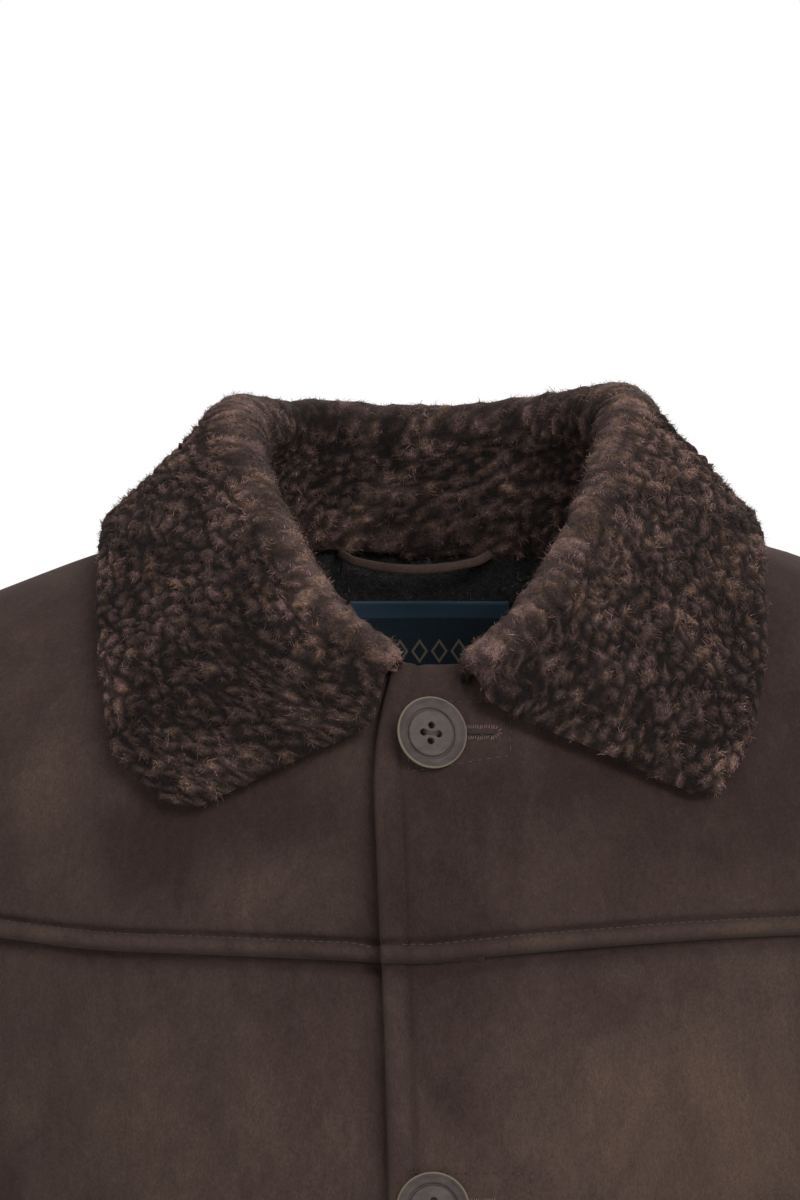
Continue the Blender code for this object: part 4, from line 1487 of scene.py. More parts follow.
def face_out_by_middle(mesh, rows):
    """Turns a tube's faces outwards, judged from the middle of its own height bands."""
    points = read(mesh)
    out = np.zeros_like(points)
    for band in np.array_split(np.argsort(points[:, 2]), rows // 6):
        out[band] = points[band] - points[band].mean(0)
    face_out(mesh, out)


# --- Collar ---


@lru_cache
def collar_rows(side):
    rows = []
    for row in COLLAR:
        edge = row[5:7] if side == LEFT else row[7:9]
        rows.append((*row[:5], *spot(*edge, BACK if row[0] < 90.0 else FRONT)))
    mirrored = [
        (-at, -x, y, z, roll, -turn, fall) for at, x, y, z, roll, turn, fall in rows[2:0:-1]
    ]
    return tuple(mirrored + rows)


def collar_section(angle, side):
    """Fold centres, roll radii and edge spots of the collar at angles of the neckline."""
    fold_x, fold_y, fold_z, roll, turn, fall = through(collar_rows(side), angle)
    angles, left, right = zip(*TOP_LIFT, strict=True)
    fold_z = fold_z + np.interp(np.abs(angle), angles, left if side == LEFT else right)
    centres = np.stack([side * fold_x, fold_y, fold_z], -1)
    return centres, roll[:, None], pairs(side * turn, fall)


def dot(first, second):
    return np.sum(first * second, axis=-1, keepdims=True)


def half_collar(reach, up, side):
    """Points of one half of the collar's own surface; reach runs from the back to a front end."""
    angle = neck_angle(reach * COLLAR_STEPS)
    fold, roll, edge_spot = collar_section(angle, side)
    here = neckline(angle, side, 0.0)
    lift = np.where(angle > 90.0, lap_lift(form(here)[:, 0], side), 0.0)
    seam = on_form(here, lift) + UPWARD * COLLAR_GAP
    fold = fold + outward(here) * lift[:, None]
    edge = on_form(edge_spot, EDGE_LIFT)
    before, after = (collar_section(angle + turn, side)[0] for turn in (-1.0, 1.0))
    fold_line = unit(after - before)
    rise = fold - (seam + edge) / 2
    rise = unit(rise - fold_line * dot(rise, fold_line))
    out = np.cross(rise, fold_line) * side
    up = up[:, None]
    behind = fold - out * roll
    arrive = rise * np.linalg.norm(behind - seam, axis=-1, keepdims=True)
    stand = hermite(seam, behind - seam, behind, arrive, np.clip(up / STAND_SHARE, 0.0, 1.0))
    turn = math.pi * np.clip((up - STAND_SHARE) / ROLL_SHARE, 0.0, 1.0)
    over = fold + (rise * np.sin(turn) - out * np.cos(turn)) * roll
    past = up - STAND_SHARE - ROLL_SHARE
    s = np.clip(past / (1.0 - STAND_SHARE - ROLL_SHARE), 0.0, 1.0)
    start = fold + out * roll
    leave = -rise * np.linalg.norm(edge - start, axis=-1, keepdims=True)
    ahead = unit(np.cross(outward(edge_spot), edge - start)) * -side
    height, fall, climb = END_BELLY[side]
    belly = END_REACH[side] * (1.0 - s) + height * (1.0 - s) ** fall * smooth(s / climb)
    belly = ahead * belly * smooth(up / STAND_SHARE) * reach[:, None] ** BELLY_POWER
    leaf = hermite(start, leave, edge, edge - start, s)
    found = np.where(up < STAND_SHARE, stand, over)
    return np.where(up < STAND_SHARE + ROLL_SHARE, found, leaf) + belly


def collar_points(across, up):
    along = 2.0 * across - 1.0
    left = half_collar(np.clip(along, 0.0, 1.0), up, LEFT)
    right = half_collar(np.clip(-along, 0.0, 1.0), up, RIGHT)
    tip = smooth((np.abs(along) - TIP_FROM[0]) / TIP_OVER[0])
    tip = (tip * smooth((up - TIP_FROM[1]) / TIP_OVER[1]))[:, None]
    for points, side in ((left, LEFT), (right, RIGHT)):
        across_by, up_by = TIP_REACH[side]
        points += np.array((across_by, 0.0, up_by)) * tip
    return np.where((along < 0.0)[:, None], right, left)


def collar_normals(across, up):
    """Normals on the pile's side of the collar."""
    inside = np.clip(across, SLOPE_STEP, 1.0 - SLOPE_STEP)
    low, high = np.maximum(up - SLOPE_STEP, 0.0), np.minimum(up + SLOPE_STEP, 1.0)
    sideways = collar_points(inside + SLOPE_STEP, up) - collar_points(inside - SLOPE_STEP, up)
    upward = collar_points(inside, high) - collar_points(inside, low)
    normal = unit(np.cross(sideways, upward))
    flat = unit(normal * np.array((1.0, 1.0, 0.0)) + np.maximum(normal, 0.0) * UPWARD)
    return unit(mix(flat, normal, smooth(up / 0.10)[:, None]))


def round_tips(across, up):
    """Rounds the tip of each leaf, as the square's corner is drawn in to a quarter circle."""
    along = 2.0 * across - 1.0
    a = np.maximum(np.abs(along) - 1.0 + TIP_ALONG, 0.0) / TIP_ALONG
    b = np.maximum(up - 1.0 + TIP_UP, 0.0) / TIP_UP
    new_a, new_b = a * np.sqrt(1.0 - b * b / 2.0), b * np.sqrt(1.0 - a * a / 2.0)
    along = np.where(a > 0.0, np.copysign(1.0 - TIP_ALONG + TIP_ALONG * new_a, along), along)
    up = np.where(b > 0.0, 1.0 - TIP_UP + TIP_UP * new_b, up)
    return (along + 1.0) / 2.0, up


def make_undercollar(finish):
    columns, rows = NETS["undercollar"]
    mesh, across, up = net("undercollar_cloth", columns, rows)
    across, up = round_tips(across, up)
    across, up = 0.5 + (across - 0.5) * (1.0 - INSET_ALONG), up * (1.0 - INSET_UP)
    normal = collar_normals(across, up)
    points = collar_points(across, up)
    edge = nearest_border(borders(points, columns, rows), "left", "right", "high")
    # Its visible side faces away from the pile, and the wall lies on the pile's side
    write(mesh, points - normal * (WALL + 0.0003 * bell(edge - 0.006, 0.004))[:, None])
    face_out(mesh, -normal)
    mottle_and_paint_light(mesh, points)
    return show(mesh, finish, "undercollar", "faux_suede", WALL)


def spread_seeds(points, spacing, seed):
    """Points spread over a surface no nearer to each other than that spacing."""
    order = np.random.default_rng(seed).permutation(len(points))
    free = np.ones(len(points), bool)
    seeds = []
    for index in order:
        if free[index]:
            seeds.append(index)
            free &= ((points - points[index]) ** 2).sum(1) > spacing**2
    return points[np.array(seeds)]


def nearest(points, seeds):
    """The two nearest seeds of each point: their numbers and distances."""
    tree = KDTree(len(seeds))
    for number, seed in enumerate(seeds):
        tree.insert(seed, number)
    tree.balance()
    found = [tree.find_n(point, 2) for point in points]
    numbers = np.array([[one[1] for one in two] for two in found])
    distances = np.array([[one[2] for one in two] for two in found])
    return numbers, distances


def set_uv(mesh, u, v):
    """UVs from one pair for each corner point of the mesh."""
    corners = np.empty(len(mesh.loops), np.int32)
    mesh.loops.foreach_get("vertex_index", corners)
    layer = mesh.uv_layers.get("UVMap") or mesh.uv_layers.new(name="UVMap")
    values = np.stack([u, v], -1).astype(np.float32)[corners]
    layer.uv.foreach_set("vector", values.ravel())


def scatter(points, columns, rows, count, weights, rng):
    """Random places on a net of points, by area: the four corners of their cells and shares."""
    grid = np.arange(len(points)).reshape(rows + 1, columns + 1)
    corners = np.stack([grid[:-1, :-1], grid[:-1, 1:], grid[1:, :-1], grid[1:, 1:]], -1)
    corners = corners.reshape(-1, 4)
    a, b, c = (points[corners[:, k]] for k in range(3))
    area = np.linalg.norm(np.cross(b - a, c - a), axis=-1) * weights[corners].mean(1)
    cell = corners[rng.choice(len(corners), count, p=area / area.sum())]
    s, t = rng.random(count), rng.random(count)
    shares = np.stack([(1 - s) * (1 - t), s * (1 - t), (1 - s) * t, s * t], -1)

    def at(values):
        return (values[cell] * shares.reshape(count, 4, *([1] * (values.ndim - 1)))).sum(1)

    return at


def strand_mesh(name):
    """A ribbon of two steps that ends in a point; its Y runs from the root to the tip."""
    made = bmesh.new()
    made.loops.layers.uv.new("UVMap")
    bmesh.ops.create_grid(made, x_segments=1, y_segments=2, size=0.5, calc_uvs=True)
    tip = [vert for vert in made.verts if vert.co.y > 0.4]
    bmesh.ops.pointmerge(made, verts=tip, merge_co=(0.0, 0.5, 0.0))
    return baked(made, name)


def strands(name, root, start, bend, length, facing, wide, bright, finish, slot):
    """Pointed ribbons that leave their roots one way and bend another, turned to face a way."""
    t = np.array((0.0, 0.5, 1.0))[None, :, None]
    way = start[:, None, :] * t + bend[:, None, :] * t**2
    path = root[:, None, :] + np.broadcast_to(length, (len(root), 1))[:, None, :] * way
    one = strand_mesh(name)
    shares = read(one)
    step_of = np.rint((shares[:, 1] + 0.5) * 2.0).astype(int)
    mesh = copies(name, one, len(path))
    across = unit(np.cross(facing[:, None, :], np.gradient(path, axis=1))) * wide[:, None, None]
    points = path[:, step_of] + across[:, step_of] * shares[None, :, :1]
    write(mesh, points.reshape(-1, 3))
    face_out(mesh, np.repeat(facing, len(step_of), axis=0))
    v = np.tile((step_of / 2.0)[None, :], (len(path), 1))
    set_uv(mesh, np.repeat(bright, len(step_of)), v.ravel())
    return show(mesh, finish, slot=slot)


def border_ways(points, near, columns, rows, reach):
    """How far and which way the pile spreads over the borders of its net."""
    grid = points.reshape(rows + 1, columns + 1, 3)
    sideways = unit(np.gradient(grid, axis=1)).reshape(-1, 3)
    upward = unit(np.gradient(grid, axis=0)).reshape(-1, 3)
    spread = np.zeros_like(points)
    ways = {"left": -sideways, "right": sideways, "low": -upward, "high": upward}
    for border, way in ways.items():
        spread += way * (1.0 - np.clip(near[border] / reach, 0.0, 1.0))[:, None]
    size = np.linalg.norm(spread, axis=-1, keepdims=True)
    return spread / np.maximum(size, 1.0)


def make_tufts(base):
    """The small curled tufts of the pile: their middles and what is each one's own."""
    rng = np.random.default_rng(71)
    seeds = spread_seeds(base, TUFT, 3)
    count = len(seeds)
    return {
        "seeds": seeds,
        "tall": rng.random(count),
        "bright": rng.random(count),
        "way": directions(rng, count),
        "curl": rng.choice((-1.0, 1.0), count) * rng.uniform(0.2, 1.0, count),
    }


def in_tuft(points, tufts):
    """The tuft that each point belongs to, and how near its middle it is, 0 to 1."""
    numbers, distances = nearest(points + wander(points), tufts["seeds"])
    return numbers[:, 0], smooth((distances[:, 1] - distances[:, 0]) / (0.9 * TUFT))


def make_collar(finish, strand_count):
    columns, rows = NETS["collar"]
    mesh, across, up = net("collar_pile", columns, rows)
    up = np.interp(up, PILE_ROW_SHARES, (0.0, STAND_SHARE, STAND_SHARE + ROLL_SHARE, 1.0))
    across, up = round_tips(across, up)
    normal = collar_normals(across, up)
    base = collar_points(across, up) + normal * SEAM_GAP
    near = borders(base, columns, rows)
    edge = nearest_border(near, "left", "right", "high")
    inside = smooth((0.92 - np.abs(2.0 * across - 1.0)) / 0.2)
    foot = mix(mix(0.75, 0.10, inside), 1.0, rounded_rim(near["low"], PILE_FOOT))
    profile = rounded_rim(edge, PILE_RIM) * foot
    spread = border_ways(base, near, columns, rows, PILE_SPREAD)
    uneven = 0.0016 * cloud(base, 0.007, 53) + 0.0012 * cloud(base, 0.018, 54)
    end_hang = np.where(across > 0.5, END_HANG[LEFT], END_HANG[RIGHT])
    hang = mix(end_hang, PILE_HANG + uneven, inside) * smooth(1.0 - near["low"] / HANG_REACH)
    base[:, 2] -= hang
    base += spread * PILE_SPREAD_BY * (edge < PILE_SPREAD)[:, None]
    tufts = make_tufts(base)
    tuft, dome = in_tuft(base, tufts)
    roll = bell(up - STAND_SHARE - ROLL_BAND * ROLL_SHARE, ROLL_BAND_HALF)
    dome = mix(dome, 0.80, 0.62 * roll)
    share = 0.44 + 0.26 * dome + 0.20 * tufts["tall"][tuft] + 0.10 * cloud(base, 0.008, 52)
    height = PILE_WALL + (PILE - PILE_WALL - 0.0014) * profile * share
    surface = base + normal * height[:, None]
    write(mesh, surface)
    face_out(mesh, normal)
    # Painted shade: the pile's brightness falls off from each tuft's dome towards the tufts'
    # borders
    own = 0.03 + 0.42 * dome + 0.14 * tufts["bright"][tuft] + 0.23 * cloud(base, 0.009, 91)
    leaf = smooth((up - 0.40) / 0.08)
    # Painted sheen on the roll's band, and partly painted light making the leaves' tops, edges and
    # stand lighter
    lighter = (0.52 * smooth((surface[:, 2] + 0.045) / 0.070) - 0.12) * leaf
    lighter += 0.26 * bell(edge, 0.012) + 0.66 * roll + 0.10 * (1.0 - leaf)
    set_uv(mesh, own + 0.22 * lighter, 0.20 + 0.46 * dome)
    pile = show(mesh, finish, "collar", "faux_shearling", PILE_WALL)
    fields = {
        "base": base,
        "root": surface - normal * 0.0006,
        "out": normal,
        "spread": spread,
        "lie": clouds(base, 0.024, 71) + PILE_FALL,
        "shown": mix(0.7, 1.0, smooth((0.03 - base[:, 1]) / 0.05))
        + bell(near["low"], 0.005) * inside,
        "tone_and_painted_light": 0.26 * cloud(base, 0.009, 91) + 0.18 * cloud(base, 0.026, 92) + 0.54 * lighter,
    }
    grown = [
        grow_strands(number, strand_count, columns, rows, fields, tufts, finish)
        for number in range(STRAND_PIECES)
    ]


def wander(points):
    """Small shifts that keep the curls' borders from being straight."""
    return clouds(points, 0.005, 40) * 0.0034


def level_with(vectors, out):
    """Vectors laid flat on a surface with those normals."""
    return vectors - out * dot(vectors, out)


def grow_strands(number, count, columns, rows, fields, tufts, finish):
    """Frizzy strands that curl over together in small tufts."""
    rng = np.random.default_rng(100 + number)
    at = scatter(fields["base"], columns, rows, count, fields["shown"], rng)
    base, root, out, spread, lie, tone_and_painted_light = (
        at(fields[name]) for name in ("base", "root", "out", "spread", "lie", "tone_and_painted_light")
    )
    out = unit(out)
    tuft, dome = in_tuft(base, tufts)
    inward = level_with(tufts["seeds"][tuft] - base, out)
    far = np.clip(np.linalg.norm(inward, axis=-1, keepdims=True) / (0.6 * TUFT), 0.0, 1.0)
    edge = np.linalg.norm(spread, axis=-1, keepdims=True)
    root = root + out * (0.0010 * dome - 0.0003)[:, None] * (1.0 - edge)
    curl = tufts["curl"][tuft][:, None]
    lean = unit(level_with(tufts["way"][tuft] + 0.8 * lie, out))
    loose, frizz = directions(rng, count), directions(rng, count)
    rise = unit(out * (1.0 - 0.6 * edge) + 0.8 * spread)
    start = unit(rise * 0.44 + lean * 0.60 + 0.20 * far * unit(inward) + 0.60 * loose)
    bend = 0.75 * np.cross(out, lean) * curl - 0.40 * rise + 0.70 * frizz
    length = rng.uniform(*STRAND_LENGTH, (count, 1)) * (1.0 - 0.25 * edge)
    wide = rng.uniform(*STRAND_WIDTH, count)
    # Painted shade at the tufts' borders through the dome; the last term carries the collar's
    # painted light
    bright = 0.44 * dome + 0.20 * tufts["bright"][tuft] + 0.28 * rng.random(count) - 0.09 + tone_and_painted_light
    name, facing = "collar_strands_" + str(number + 1), unit(out + 0.5 * loose)
    looks = (facing, wide, bright, finish, "faux_shearling")
    return strands(name, root, start, bend, length, *looks)


# --- Inside the neck ---


def make_lining(finish, count):
    columns, rows = NETS["lining"]
    mesh, across, up = net("back_lining_pile", columns, rows)
    spots = back_patch()(mix(*LINING_COLUMNS, across), mix(*LINING_ROWS, up))
    out = outward(spots)
    points = form(spots)
    edge = nearest_border(borders(points, columns, rows), "left", "right", "low", "high")
    lumps = cloud(points, 0.004, 61)
    tall = LINING_PILE + LINING_EDGE * rounded_rim(edge, 0.004) + LINING_LUMP * lumps
    surface = points - out * (WALL + SEAM_GAP + tall)[:, None]
    write(mesh, surface)
    face_out(mesh, -out)
    # Painted shade: the lining's pile is darker in the hollows between its lumps
    set_uv(mesh, np.full(len(points), 0.5), 0.2 + 0.3 * (0.5 + 0.5 * lumps))
    lining = show(mesh, finish, "back_lining", "dark_pile", LINING_WALL)
    rng = np.random.default_rng(77)
    shown = smooth((points[:, 2] + 0.11) / 0.04) + 0.05
    at = scatter(surface, columns, rows, count, shown, rng)
    root, face = at(surface), unit(at(-out))
    loose = directions(rng, count)
    lie = unit(clouds(root, 0.007, 81))
    start = unit(face * 0.7 + lie * 0.6 + loose * 0.4)
    bend = lie * 0.4 - face * 0.35
    bright = 0.34 + 0.22 * cloud(root, 0.006, 84) + 0.28 * rng.random(count)
    wide = np.full(count, LINING_STRAND_WIDTH)
    looks = (unit(face + 0.5 * loose), wide, bright, finish, "dark_pile")
    piece = strands("back_lining_strands", root, start, bend, LINING_STRAND, *looks)


def make_label(finish):
    columns, rows = NETS["label"]
    mesh, across, up = net("neck_label_cloth", columns, rows)
    spots = spot(mix(*LABEL_X, across), mix(*LABEL_Z, up), BACK)
    out = outward(spots)
    points = form(spots)
    edge = np.minimum(across, 1.0 - across)
    bow = 0.0004 * np.sin(math.pi * across * 2.0 + 0.6) * (1.0 - up)
    bow += 0.0003 * cloud(points, 0.02, 65)
    bow += 0.0003 * rounded_rim(edge, 0.06) + 0.0010 * (1.0 - up) ** 2
    write(mesh, points - out * (LABEL_DEPTH + 0.0008 + bow)[:, None])
    face_out(mesh, -out)
    return show(mesh, finish, "neck_label", "woven_label", LABEL_WALL)


def loop_end_y(side):
    x = LOOP_MIDDLE_X + LOOP_HALF * side
    angle = np.degrees(np.arcsin(abs(x) / NECK_HALF))
    edge = on_form(neckline(angle, side), -LINING_DEPTH)
    return edge[1] - LOOP_RADIUS - LOOP_CLEAR


def make_loop(finish):
    columns, rows = NETS["loop"]
    mesh, around, along = net("hanger_loop_cloth", columns, rows)
    reach = 2.0 * along - 1.0
    sag = LOOP_SAG * (1.0 - reach**2)
    tucked = smooth((np.abs(reach) - 0.66) / 0.34)
    middle = np.stack(
        [
            LOOP_MIDDLE_X + (LOOP_HALF + LOOP_SEEN) * reach,
            mix(loop_end_y(LEFT), loop_end_y(RIGHT), 1.0 - along) + LOOP_TUCK * tucked,
            LOOP_TOP_Z - sag + 0.3 * LOOP_TUCK * tucked,
        ],
        -1,
    )
    level_part, flat = np.full(len(along), LOOP_HALF), np.zeros(len(along))
    way = unit(np.stack([level_part, flat, 2.0 * LOOP_SAG * reach], -1))
    deep = np.array((0.0, 1.0, 0.0))
    tall = np.cross(way, deep)
    angle = math.tau * around
    lean = 0.35 * np.sin(reach * 2.2 + 0.5)
    a = np.cos(angle) * 0.0010
    b = np.sign(np.sin(angle)) * np.abs(np.sin(angle)) ** 0.75 * 0.0020
    offset = tall * (b * np.cos(lean) - a * np.sin(lean))[:, None]
    offset += deep * (a * np.cos(lean) + b * np.sin(lean))[:, None]
    thick = 1.0 - 0.35 * tucked + 0.12 * cloud(middle, 0.006, 66)
    write(mesh, middle + offset * thick[:, None])
    close_tube(mesh)
    made = bmesh.new()
    made.from_mesh(mesh)
    bmesh.ops.holes_fill(made, edges=[edge for edge in made.edges if edge.is_boundary])
    bmesh.ops.recalc_face_normals(made, faces=made.faces)
    baked(made, mesh)
    # Painted light: the loop is made lighter throughout to offset the shade it hangs in
    mottle_and_paint_light(mesh, read(mesh), lighter=1.0)
    return show(mesh, finish, "hanger_loop", "faux_suede")


# --- Buttons and stitching ---


def turned(profile, steps):
    """A closed turned shape from a profile of radii and heights."""
    made = bmesh.new()
    line = [made.verts.new((radius * MM, 0.0, height * MM)) for radius, height in profile]
    edges = [made.edges.new(pair) for pair in zip(line, line[1:])]
    bmesh.ops.spin(
        made,
        geom=line + edges,
        cent=(0.0, 0.0, 0.0),
        axis=(0.0, 0.0, 1.0),
        angle=math.tau,
        steps=steps,
        use_merge=True,
    )
    bmesh.ops.remove_doubles(made, verts=made.verts, dist=0.000001)
    bmesh.ops.recalc_face_normals(made, faces=made.faces)
    return made


def button_mesh():
    body = baked(turned(BUTTON_PROFILE, 64), "button")
    holes = bmesh.new()
    for number in range(4):
        one = turned(HOLE_PROFILE, 16)
        angle = HOLE_TURN + number * math.tau / 4
        centre = Vector((math.cos(angle), math.sin(angle), 0.0)) * HOLE_REACH
        bmesh.ops.translate(one, verts=one.verts, vec=centre)
        piece = baked(one, "hole")
        holes.from_mesh(piece)
        bpy.data.meshes.remove(piece)
    cutter_mesh = baked(holes, "button_holes")
    solid, cutter = linked("button_solid", body), linked("button_cutter", cutter_mesh)
    cut = solid.modifiers.new("holes", "BOOLEAN")
    cut.operation = "DIFFERENCE"
    cut.object = cutter
    mesh = evaluated(solid)
    for piece, data in ((solid, body), (cutter, cutter_mesh)):
        bpy.data.objects.remove(piece)
        bpy.data.meshes.remove(data)
    return mesh


def button_frame(z):
    """Place, normal and the two ways across a button on the left front."""
    here = spot(BUTTON_X, z, FRONT)
    normal = outward(here)
    place = on_form(here, lap_lift(np.array(BUTTON_X), LEFT) + 0.0001)
    if z == BUTTON_Z[0]:
        place = place + normal * TOP_SHANK + TOP_OFF
        normal = unit(normal + TOP_LEAN)
    right = unit(np.cross(UPWARD, normal))
    return place, normal, right, np.cross(normal, right)


def make_buttons(finishes):
    first = button_mesh()
    x, y, height = read(first).T
    reach = np.hypot(x, y)
    # Where a yellowish highlight is painted along each button's thin outer edge
    rim_highlight = smooth((reach - RIM_REACH) / RIM_FADE) * smooth((height - RIM_HEIGHT) / RIM_FADE)
    flat = (np.abs(height - FACE_HEIGHT) < 0.00008) & (reach < FACE_REACH)
    threads = []
    for number, button_z in enumerate(BUTTON_Z, 1):
        mesh = first.copy()
        mesh.name = "button_" + str(number) + "_cast"
        place, normal, right, up = button_frame(button_z)
        write(mesh, place + x[:, None] * right + y[:, None] * up + height[:, None] * normal)
        set_values(mesh, "rim_highlight", rim_highlight)
        show(mesh, finishes["button"], "button_" + str(number), "button")
        mesh.set_sharp_from_angle(angle=math.radians(50))
        ends = np.empty(2 * len(mesh.edges), np.int32)
        mesh.edges.foreach_get("vertices", ends)
        sharp = np.empty(len(mesh.edges), bool)
        mesh.edges.foreach_get("use_edge_sharp", sharp)
        mesh.edges.foreach_set("use_edge_sharp", sharp | flat[ends].reshape(-1, 2).all(1))
        way = right * math.cos(HOLE_TURN) + up * math.sin(HOLE_TURN)
        side = np.cross(normal, way)
        centres = [place + normal * THREAD_HEIGHT + side * off for off in THREAD_OFFS]
        threads.append((centres, [way] * len(centres), [normal] * len(centres)))
    bpy.data.meshes.remove(first)
    sew("button_thread", threads, (0.0066, 0.00028), finishes["thread"])


def sew(name, rows, size, finish, slot=None):
    """Rows of stitches as one mesh, each an elongated bead of thread of that length and radius."""
    centres, ways, outs = (np.array([one for row in rows for one in row[k]]) for k in range(3))
    length, radius = size
    one = bmesh.new()
    one.loops.layers.uv.new("UVMap")
    bmesh.ops.create_icosphere(one, subdivisions=1, radius=1.0)
    mesh = baked(one, name)
    bead = read(mesh)
    mesh = copies(name, mesh, len(centres))
    ways = unit(ways)
    outs = unit(outs - ways * dot(outs, ways))
    across = np.cross(outs, ways)
    x, y, z = bead.T
    points = (
        centres[:, None, :]
        + ways[:, None, :] * (z * length / 2)[None, :, None]
        + across[:, None, :] * (x * radius)[None, :, None]
        + outs[:, None, :] * (y * radius)[None, :, None]
    )
    write(mesh, points.reshape(-1, 3))
    return show(mesh, finish, slot=slot)


def spaced(line, pitch):
    """Places and ways at that pitch along a line of points."""
    reach = np.concatenate([[0.0], np.cumsum(np.linalg.norm(np.diff(line, axis=0), axis=1))])
    at = np.arange(pitch / 2, reach[-1], pitch)

    def along(at):
        return np.stack([np.interp(at, reach, line[:, k]) for k in range(3)], -1)

    return along(at), unit(along(at + pitch / 4) - along(at - pitch / 4))


def on_piece(piece, places, ways, height):
    """The nearest places on a piece's cloth, their ways and normals, a little above it."""
    found = [piece.closest_point_on_mesh(Vector(place))[1:3] for place in places]
    outs = np.array([normal for _, normal in found])
    return np.array([place for place, _ in found]) + outs * height, np.asarray(ways), outs


def make_stitching(finishes):
    """Sews the yokes, the front edge, the hem and the cuffs."""
    cloth = bpy.context.scene.objects
    share = np.linspace(0.0, 1.0, 121)
    rows = []
    for side, word in WORD.items():
        spots = yoke_seam(np.linspace(0.03 if side == LEFT else 0.0, 0.985, 160), side)
        line = on_form(spots, lap_lift(form(spots)[:, 0], side)) + UPWARD * YOKE_STITCH
        rows.append(on_piece(cloth["yoke_" + word + "_cloth"], *spaced(line, FINE_PITCH), ON_TOP))
        cuff = sleeve_points(share, np.full(121, 1.0), side)[0] + UPWARD * HEM_STITCH
        rows.append(on_piece(cloth["sleeve_" + word + "_cloth"], *spaced(cuff, PITCH), ON_TOP))
        start = spot(edge_x(np.array(HEM_Z), side), HEM_Z, FRONT)[0]
        turn = mix(start, side * (QUARTER - SIDE_SEAM), share)
        hem = form(level(turn, HEM_Z + HEM_STITCH, FRONT))
        rows.append(on_piece(cloth["front_" + word + "_cloth"], *spaced(hem, PITCH), ON_TOP))
    turn = mix(-1.0, 1.0, np.linspace(0.0, 1.0, 241)) * (QUARTER - SIDE_SEAM)
    hem = form(level(turn, HEM_Z + HEM_STITCH, BACK))
    rows.append(on_piece(cloth["back_cloth"], *spaced(hem, PITCH), ON_TOP))
    sew("topstitching", rows, (0.0029, 0.00034), finishes["thread"], "faux_suede")
    rows = []
    for node, low, high in (("yoke_left", YOKE_Z, -0.066), ("front_left", HEM_Z, YOKE_Z - 0.002)):
        z = np.linspace(high, low, 200)
        line = on_form(spot(edge_x(z, LEFT) + EDGE_STITCH, z, FRONT), LAP_LIFT)
        rows.append(on_piece(cloth[node + "_cloth"], *spaced(line, FINE_PITCH), -0.00020))
    sew("edge_stitching", rows, (0.0029, 0.00034), finishes["edge"], "faux_suede")


def make_buttonholes(finishes):
    """Sews the buttonholes' patches and overcast edges, and dark beads of painted shadow in slits
    and needle holes.
    """
    cloth = bpy.context.scene.objects
    patches, pricks, overcast, slits = [], [], [], []
    for button_z in BUTTON_Z:
        front = cloth["yoke_left_cloth" if button_z > YOKE_Z else "front_left_cloth"]
        low, high = PATCH_X
        foot = -1.0
        if button_z == BUTTON_Z[0]:
            high, foot = high - TOP_PATCH_SHORTER, TOP_PATCH_FOOT
        corners = [(low, 1), (high, 1), (high, foot), (low, -1.0), (low, 1)]
        for (x, s), (next_x, next_s) in zip(corners, corners[1:]):
            share = np.linspace(0.0, 1.0, 30)
            z = button_z + PATCH_HALF * mix(s, next_s, share)
            line = on_form(spot(mix(x, next_x, share), z, FRONT), LAP_LIFT)
            centres, ways, outs = on_piece(front, *spaced(line, PITCH), 0.00003)
            patches.append((centres, ways, outs))
            pricks.append((centres + ways * (PITCH / 2) - outs * 0.00012, ways, outs))

        def row(x, z, ways, height):
            places = on_form(spot(x, z, FRONT), LAP_LIFT)
            return on_piece(front, places, np.broadcast_to(ways, (len(x), 3)), height)

        z = button_z + HOLE_RISE
        x = np.linspace(BUTTON_X + 0.0120, HOLE_END_X - 0.0006, 6)
        slits.append(row(x, z, (1.0, 0.0, 0.0), -0.00012))
        x = np.arange(BUTTON_X + 0.0060, HOLE_END_X, 0.00085)
        for s in (1, -1):
            overcast.append(row(x, z + s * HOLE_HALF, (0.25, 0.0, 1.0), 0.00012))
        angle = np.linspace(-QUARTER, QUARTER, 7)
        away = np.stack([np.cos(angle), np.zeros(7), np.sin(angle)], -1)
        x, z = HOLE_END_X + HOLE_HALF * away[:, 0], z + HOLE_HALF * away[:, 2]
        overcast.append(row(x, z, away, 0.00012))
    for name, rows, size, finish in (
        ("patch_stitching", patches, (0.0024, 0.00026), "thread"),
        ("needle_hole_shadows", pricks, (0.0013, 0.00034), "prick"),
        ("buttonhole_slit_shadows", slits, (0.0034, 0.00048), "slit"),
        ("buttonhole_stitching", overcast, (0.0024, 0.00030), "buttonhole"),
    ):
        sew(name, rows, size, finishes[finish], "faux_suede")


# --- Stage ---


def add_light(name, place, wide, tall, power, colour):
    light = bpy.data.lights.new(name, "AREA")
    light.shape = "RECTANGLE"
    light.size, light.size_y = wide, tall
    light.energy = power
    light.color = colour
    lamp = linked(name, light)
    lamp.location = place
    lamp.rotation_euler = (Vector(LAMPS_AIM) - lamp.location).to_track_quat("-Z", "Y").to_euler()
    lamp.visible_camera = False


